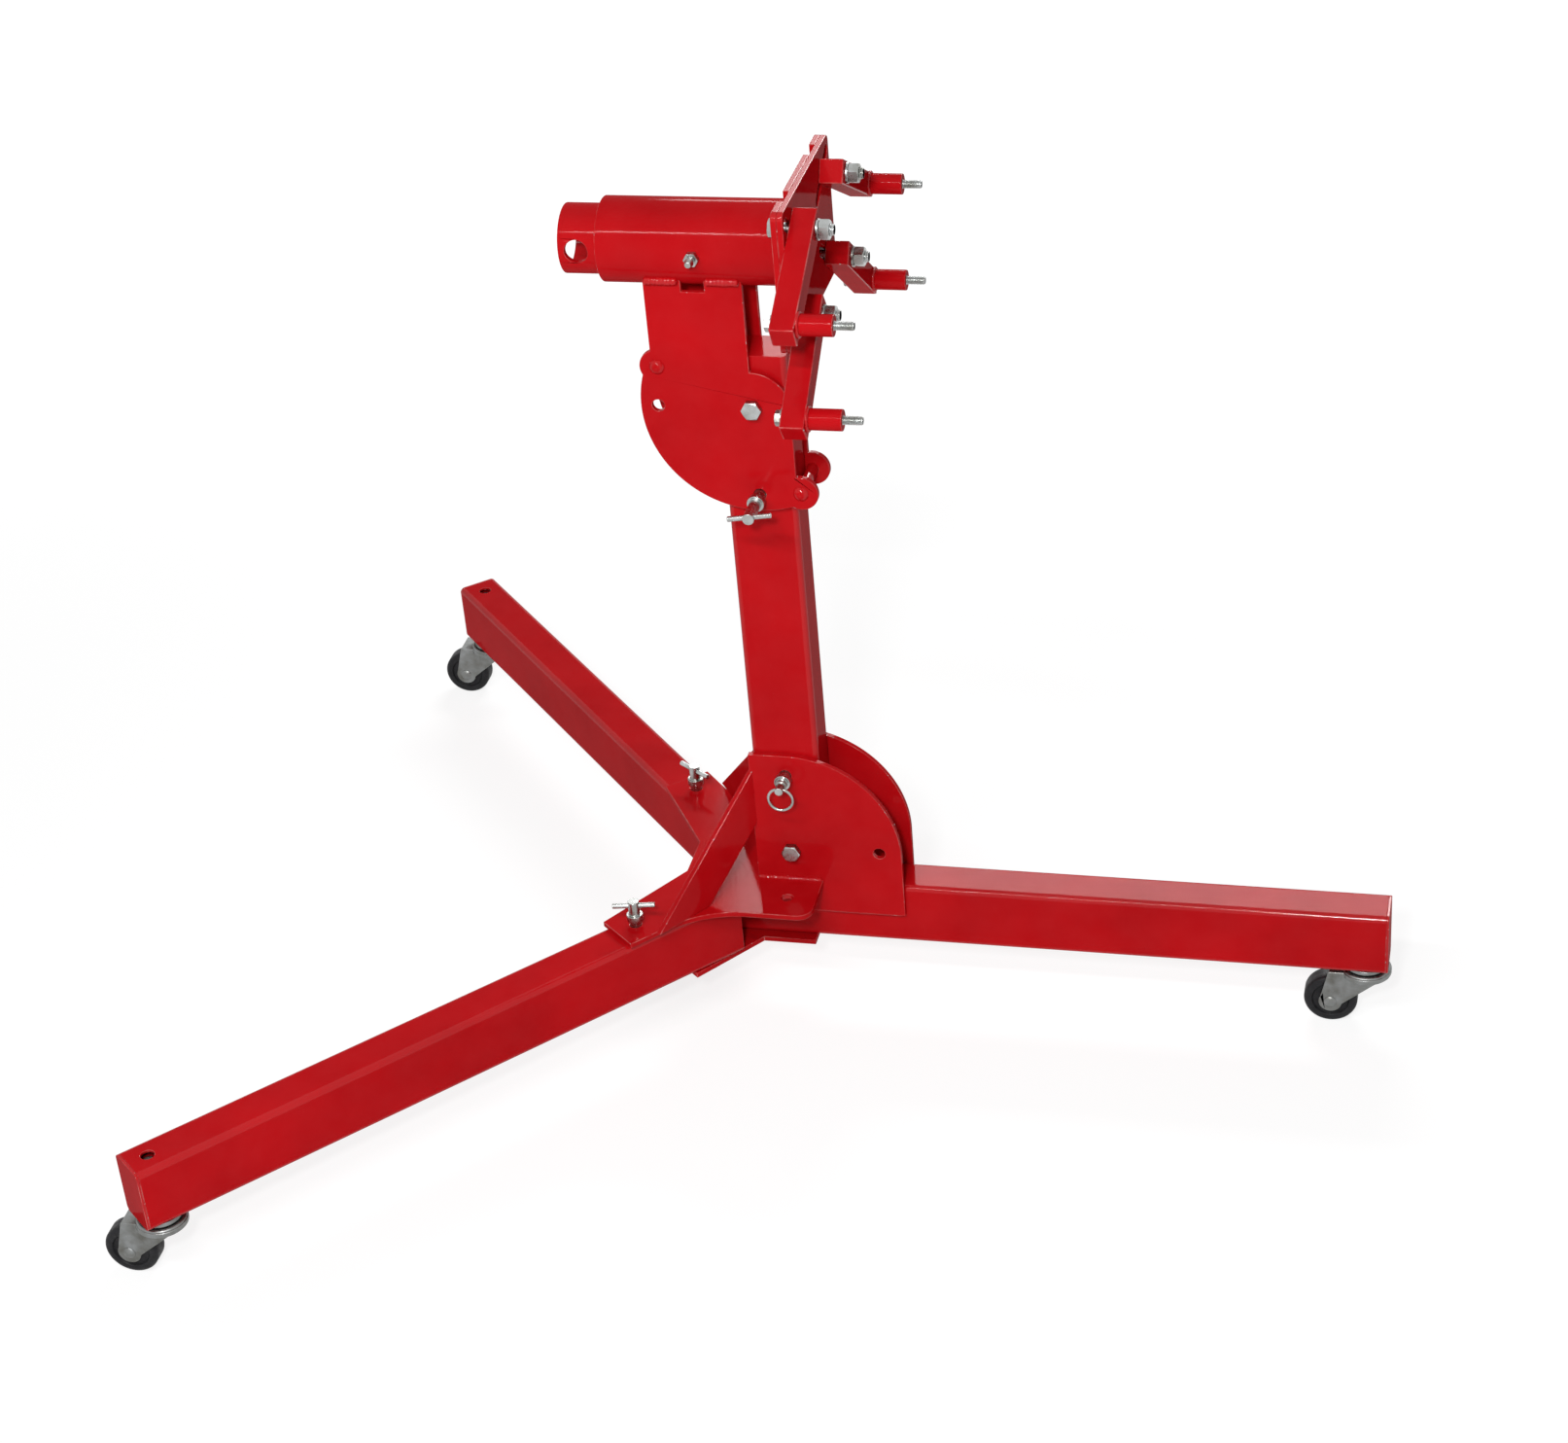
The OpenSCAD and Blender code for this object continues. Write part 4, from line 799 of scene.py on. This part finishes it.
class STAND_OT_clamp_bolts(bpy.types.Operator):
    """Makes the clamp bolts, washers and nuts of the four arms"""
    bl_idname = "engine_stand.clamp_bolts"
    bl_label = "Clamp bolts"

    def execute(self, context):
        sizes = context.scene.stand_hardware
        washer = sizes.washer
        for arm, name in ARMS.items():
            low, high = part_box(arm + "_clamp")
            centre = Vector(JOINTS[name + "_arm_swing"]["pos_m"])
            slot_dir = Vector(JOINTS[name + "_slot_slide"]["axis"])
            head_face = low.x + sizes.head
            arm_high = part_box(arm + "_arm")[1].x
            parts = bolt_parts(sizes.flats, sizes.head, sizes.shank, high.x - head_face, sizes.pitch,
                               high.x - arm_high - 2 * MM)
            parts += washer_parts(sizes.backing_washer, sizes.shank / 2 + GAP, GAP, GAP + washer)
            front = arm_high + 0.3 * MM - head_face
            parts += washer_parts(sizes.nut_washer, sizes.shank / 2 + GAP, front, front + washer)
            nut_face = front + washer + GAP
            parts.append(large_nut(sizes, nut_face, nut_face + sizes.nut))
            scatter(arm + "_clamp_plated", to_mesh(arm + "_clamp_master", parts),
                    [((head_face, centre.y, centre.z), X_AXIS, X_AXIS.cross(slot_dir))], arm + "_clamp",
                    [arm + "_clamp"])
        return {"FINISHED"}


class STAND_OT_engine_bolts(bpy.types.Operator):
    """Makes the engine bolts and washers of the four arms"""
    bl_idname = "engine_stand.engine_bolts"
    bl_label = "Engine bolts"

    def execute(self, context):
        sizes = context.scene.stand_hardware
        for arm, name in ARMS.items():
            low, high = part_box(arm + "_engine_bolt")
            centre = Vector(MOUNTS[name + "_engine_bolt"]["pos_m"])
            head_face = low.x + sizes.engine_head
            parts = bolt_parts(sizes.engine_flats, sizes.engine_head, sizes.engine_shank, high.x - head_face,
                               sizes.engine_pitch, ENGINE_THREAD)
            parts += washer_parts(ENGINE_WASHER, sizes.engine_shank / 2 + GAP, GAP, GAP + ENGINE_WASHER_THICK)
            scatter(arm + "_engine_bolt_plated", to_mesh(arm + "_engine_bolt_master", parts),
                    [((head_face, centre.y, centre.z), X_AXIS, Z_AXIS)], arm + "_arm", [arm + "_engine_bolt"])
        return {"FINISHED"}


class STAND_OT_wheels(bpy.types.Operator):
    """Makes the three wheels with a hub, a sunk web and a rounded tread"""
    bl_idname = "engine_stand.wheels"
    bl_label = "Wheels"

    def outline(self, outer, half):
        """Closed outline of a wheel: (radius, height) points round its axle."""
        bore, hub, rim = 4.6 * MM, 9.5 * MM, 21.4 * MM
        web, edge = 2.6 * MM, 5 * MM
        arc = [(outer - edge + edge * math.cos(turn), half - edge + edge * math.sin(turn))
               for turn in (math.radians(10 * i) for i in range(9, 0, -1))]
        face = [(bore, half), (hub, half), (hub + 0.7 * MM, half - 0.5 * MM), (hub + 1.3 * MM, half - web),
                (rim - 1.9 * MM, half - web), (rim - MM, half - 1.8 * MM),
                (rim - 0.6 * MM, half - 0.5 * MM), (rim, half)]
        upper = face + arc + [(outer, 1.2 * MM), (outer - 0.15 * MM, 0)]
        lower = [(radius, -height) for radius, height in reversed(upper[:-1])]
        return upper + lower + [upper[0]]

    def execute(self, context):
        turned = basis(Y_AXIS, X_AXIS).to_4x4()
        for caster in CASTERS:
            node = caster + "_wheel"
            low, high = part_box(node)
            wheel = lathe(self.outline((high.x - low.x) / 2, (high.y - low.y) / 2), 128)
            place = Matrix.Translation(middle(node)) @ turned
            add_piece(caster + "_wheel_rubber", to_mesh(node + "_turned", [(wheel, place)]),
                      "wheel_rubber", BODY_OF[node], [node], 40)
        return {"FINISHED"}


class STAND_OT_weld_beads(bpy.types.Operator):
    """Lays the weld beads of base, head and arms"""
    bl_idname = "engine_stand.weld_beads"
    bl_label = "Weld beads"

    def bead(self, name, body, paths, radius, ripple, seed):
        """One piece of beads along paths of points."""
        verts, edges = [], []
        for path in paths:
            start = len(verts)
            verts += [tuple(point) for point in path]
            edges += [(start + i, start + i + 1) for i in range(len(path) - 1)]
        mesh = bpy.data.meshes.new(name + "_path")
        mesh.from_pydata(verts, edges, [])
        grown_mesh = grown(name, tree_named("weld_bead", bead_tree), mesh, Radius=radius, Ripple=ripple,
                           Seed=float(seed), Material=finish_material("red_enamel"))
        mark = grown_mesh.attributes.new("edge", "FLOAT", "FACE")
        mark.data.foreach_set("value", [WELD_MARK] * len(mark.data))
        add_piece(name, grown_mesh, "red_enamel", body, (), 60)

    def run(self, start, end, y, z, steps):
        """Path along X, in even steps."""
        return [(start + (end - start) * i / steps, y, z) for i in range(steps + 1)]

    def tube_welds(self, sizes, side, sign, seed):
        """Beads between a head plate and the fixed tube."""
        head_low, head_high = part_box(side + "_head_plate")
        tube_low, tube_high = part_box("outer_tube")
        axis_z = (tube_low.z + tube_high.z) / 2
        radius = (tube_high.z - tube_low.z) / 2
        face = max(abs(head_low.y), abs(head_high.y))
        meet = axis_z - math.sqrt(radius * radius - face * face)
        pivot_x = JOINTS["head_tilt"]["pos_m"][0]
        runs = [self.run(pivot_x + start, pivot_x + end, sign * (face + 0.9 * MM), meet - 0.3 * MM, 12)
                for start, end in TUBE_WELD_RUNS]
        self.bead(side + "_tube_weld", "head", runs, 1.4 * sizes.weld, sizes.ripple, seed)

    def plate_welds(self, sizes, side, sign, seed):
        """Beads of a side plate: on the top plate's tab and along its lower edge."""
        low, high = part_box(side + "_side_plate")
        tab_end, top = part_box("top_plate")[1].xz
        outer = max(abs(low.y), abs(high.y))
        tab = self.run(low.x, tab_end, sign * (outer + 0.6 * MM), top + 0.4 * MM, 14)
        lap = self.run(low.x, high.x, sign * (outer - 4.2 * MM), low.z - 0.6 * MM, 20)
        self.bead(side + "_plate_weld", "base", [tab], 1.15 * sizes.weld, sizes.ripple, seed)
        self.bead(side + "_lap_weld", "base", [lap], 0.75 * sizes.weld, sizes.ripple, seed + 2)

    def standoff_weld(self, sizes, arm, seed):
        """Bead round a standoff's foot."""
        low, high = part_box(arm + "_standoff")
        centre = (low + high) / 2
        radius = (high.z - low.z) / 2 + 0.6 * MM
        ring = [(low.x + 0.5 * MM, centre.y + radius * math.cos(turn), centre.z + radius * math.sin(turn))
                for turn in (2 * math.pi * i / 40 for i in range(41))]
        self.bead(arm + "_standoff_weld", arm + "_arm", [ring], 0.6 * sizes.weld, 0.8 * sizes.ripple, seed)

    def execute(self, context):
        sizes = context.scene.stand_hardware
        for index, (side, sign) in enumerate(SIDES.items()):
            self.tube_welds(sizes, side, sign, 1 + index)
            self.plate_welds(sizes, side, sign, 3 + index)
        for index, arm in enumerate(ARMS):
            self.standoff_weld(sizes, arm, 10 + index)
        return {"FINISHED"}


class STAND_OT_stage(bpy.types.Operator):
    """Makes the floor, the lamps, the room's light and the camera"""
    bl_idname = "engine_stand.stage"
    bl_label = "Studio"

    def white_room(self, stage):
        """White to look at, and dimmer as a light."""
        world = bpy.data.worlds.new("room")
        bpy.context.scene.world = world
        world.use_nodes = True
        tree = world.node_tree
        back = tree.nodes["Background"]
        back.inputs["Color"].default_value = (1, 1, 1, 1)
        seen = self.seen(tree)
        strength = tree.nodes.new("ShaderNodeMapRange")
        strength.inputs["To Min"].default_value = stage.fill
        strength.inputs["To Max"].default_value = 1.0
        tree.links.new(seen, strength.inputs["Value"])
        tree.links.new(strength.outputs["Result"], back.inputs["Strength"])

    def seen(self, tree):
        """1 for rays that show the background: camera, glossy and transmission."""
        path = tree.nodes.new("ShaderNodeLightPath")
        first = maths(tree, "MAXIMUM", path.outputs["Is Camera Ray"], path.outputs["Is Glossy Ray"])
        return maths(tree, "MAXIMUM", first, path.outputs["Is Transmission Ray"])

    def floor(self, stage):
        """Pale floor that keeps the shadow and fades to white further out."""
        half = stage.floor / 2
        mesh = bpy.data.meshes.new("floor")
        corners = [(-half, -half, 0), (half, -half, 0), (half, half, 0), (-half, half, 0)]
        mesh.from_pydata(corners, [], [(0, 1, 2, 3)])
        floor = bpy.data.objects.new("floor", mesh)
        bpy.context.scene.collection.objects.link(floor)
        material, tree, shader = new_material("pale_floor")
        shader.inputs["Base Color"].default_value = (0.86, 0.86, 0.86, 1)
        shader.inputs["Roughness"].default_value = 0.9
        shader.inputs["Specular IOR Level"].default_value = 0.1
        glow = tree.nodes.new("ShaderNodeEmission")
        mix = tree.nodes.new("ShaderNodeMixShader")
        glow.inputs["Strength"].default_value = FLOOR_WHITE
        place = tree.nodes.new("ShaderNodeTexCoord")
        away = tree.nodes.new("ShaderNodeVectorMath")
        away.operation = "LENGTH"
        tree.links.new(place.outputs["Object"], away.inputs[0])
        fade = tree.nodes.new("ShaderNodeMapRange")
        fade.interpolation_type = "SMOOTHSTEP"
        fade.inputs["From Min"].default_value, fade.inputs["From Max"].default_value = FLOOR_FADE
        fade.inputs["To Min"].default_value = stage.glow
        fade.inputs["To Max"].default_value = 1.0
        tree.links.new(away.outputs["Value"], fade.inputs["Value"])
        share = maths(tree, "MULTIPLY", self.seen(tree), fade.outputs["Result"])
        tree.links.new(share, mix.inputs["Fac"])
        tree.links.new(shader.outputs[0], mix.inputs[1])
        tree.links.new(glow.outputs[0], mix.inputs[2])
        tree.links.new(mix.outputs[0], tree.nodes["Material Output"].inputs["Surface"])
        mesh.materials.append(material)

    def lamp(self, name, power, place, target, width, height):
        """Rectangular lamp that looks at a target."""
        light = bpy.data.lights.new(name, "AREA")
        light.shape = "RECTANGLE"
        light.energy = power
        light.size, light.size_y = width, height
        lamp = bpy.data.objects.new(name, light)
        lamp.visible_camera = False
        lamp.location = place
        lamp.rotation_euler = (Vector(target) - Vector(place)).to_track_quat("-Z", "Y").to_euler()
        bpy.context.scene.collection.objects.link(lamp)

    def camera(self, stage):
        """Camera at the photograph's viewing angle."""
        data = bpy.data.cameras.new("photo_view")
        data.sensor_fit = "HORIZONTAL"
        data.sensor_width = 36
        data.lens = stage.lens
        data.clip_end = 200
        sy, cy = math.sin(stage.yaw), math.cos(stage.yaw)
        sp, cp = math.sin(stage.pitch), math.cos(stage.pitch)
        sr, cr = math.sin(stage.roll), math.cos(stage.roll)
        ahead = Vector((sy * cp, cy * cp, -sp))
        level = Vector((cy, -sy, 0))
        above = level.cross(ahead)
        right = cr * level + sr * above
        up = cr * above - sr * level
        camera = bpy.data.objects.new("photo_view", data)
        turn = Matrix((right, up, -ahead)).transposed().to_4x4()
        camera.matrix_world = Matrix.Translation(stage.eye) @ turn
        bpy.context.scene.collection.objects.link(camera)
        bpy.context.scene.camera = camera

    def execute(self, context):
        stage = context.scene.stand_stage
        context.scene.view_settings.view_transform = "Standard"
        self.white_room(stage)
        self.floor(stage)
        offset, *key_lamp = KEY_LAMP
        self.lamp("key", stage.key, Vector(stage.eye) + Vector(offset), *key_lamp)
        self.lamp("strip", stage.strip, *STRIP_LAMP)
        self.lamp("window", stage.window, *WINDOW_LAMP)
        self.camera(stage)
        return {"FINISHED"}


OPERATORS = (STAND_OT_paint_frame, STAND_OT_arms, STAND_OT_plated_parts, STAND_OT_casters,
             STAND_OT_pivot_bolts, STAND_OT_clamp_bolts, STAND_OT_engine_bolts, STAND_OT_wheels,
             STAND_OT_weld_beads, STAND_OT_stage)


class STAND_PT_panel(bpy.types.Panel):
    """Sidebar panel with the stand's steps and sizes"""
    bl_idname = "STAND_PT_panel"
    bl_label = "Engine stand"
    bl_space_type = "VIEW_3D"
    bl_region_type = "UI"
    bl_category = "Engine stand"

    def draw(self, context):
        for operator in OPERATORS:
            self.layout.operator(operator.bl_idname)
        for group in (context.scene.stand_finish, context.scene.stand_hardware, context.scene.stand_stage):
            box = self.layout.box()
            for key in group.__annotations__:
                box.prop(group, key)


CLASSES = (StandFinish, StandHardware, StandStage, *OPERATORS, STAND_PT_panel)


def register():
    for item in CLASSES:
        bpy.utils.register_class(item)
    bpy.types.Scene.stand_finish = PointerProperty(type=StandFinish)
    bpy.types.Scene.stand_hardware = PointerProperty(type=StandHardware)
    bpy.types.Scene.stand_stage = PointerProperty(type=StandStage)


def unregister():
    del bpy.types.Scene.stand_stage
    del bpy.types.Scene.stand_hardware
    del bpy.types.Scene.stand_finish
    for item in reversed(CLASSES):
        bpy.utils.unregister_class(item)


def main():
    register()
    bpy.ops.engine_stand.stage()
    bpy.ops.engine_stand.paint_frame()
    bpy.ops.engine_stand.arms()
    bpy.ops.engine_stand.plated_parts()
    bpy.ops.engine_stand.casters()
    bpy.ops.engine_stand.pivot_bolts()
    bpy.ops.engine_stand.clamp_bolts()
    bpy.ops.engine_stand.engine_bolts()
    bpy.ops.engine_stand.wheels()
    bpy.ops.engine_stand.weld_beads()


if __name__ == "__main__":
    main()
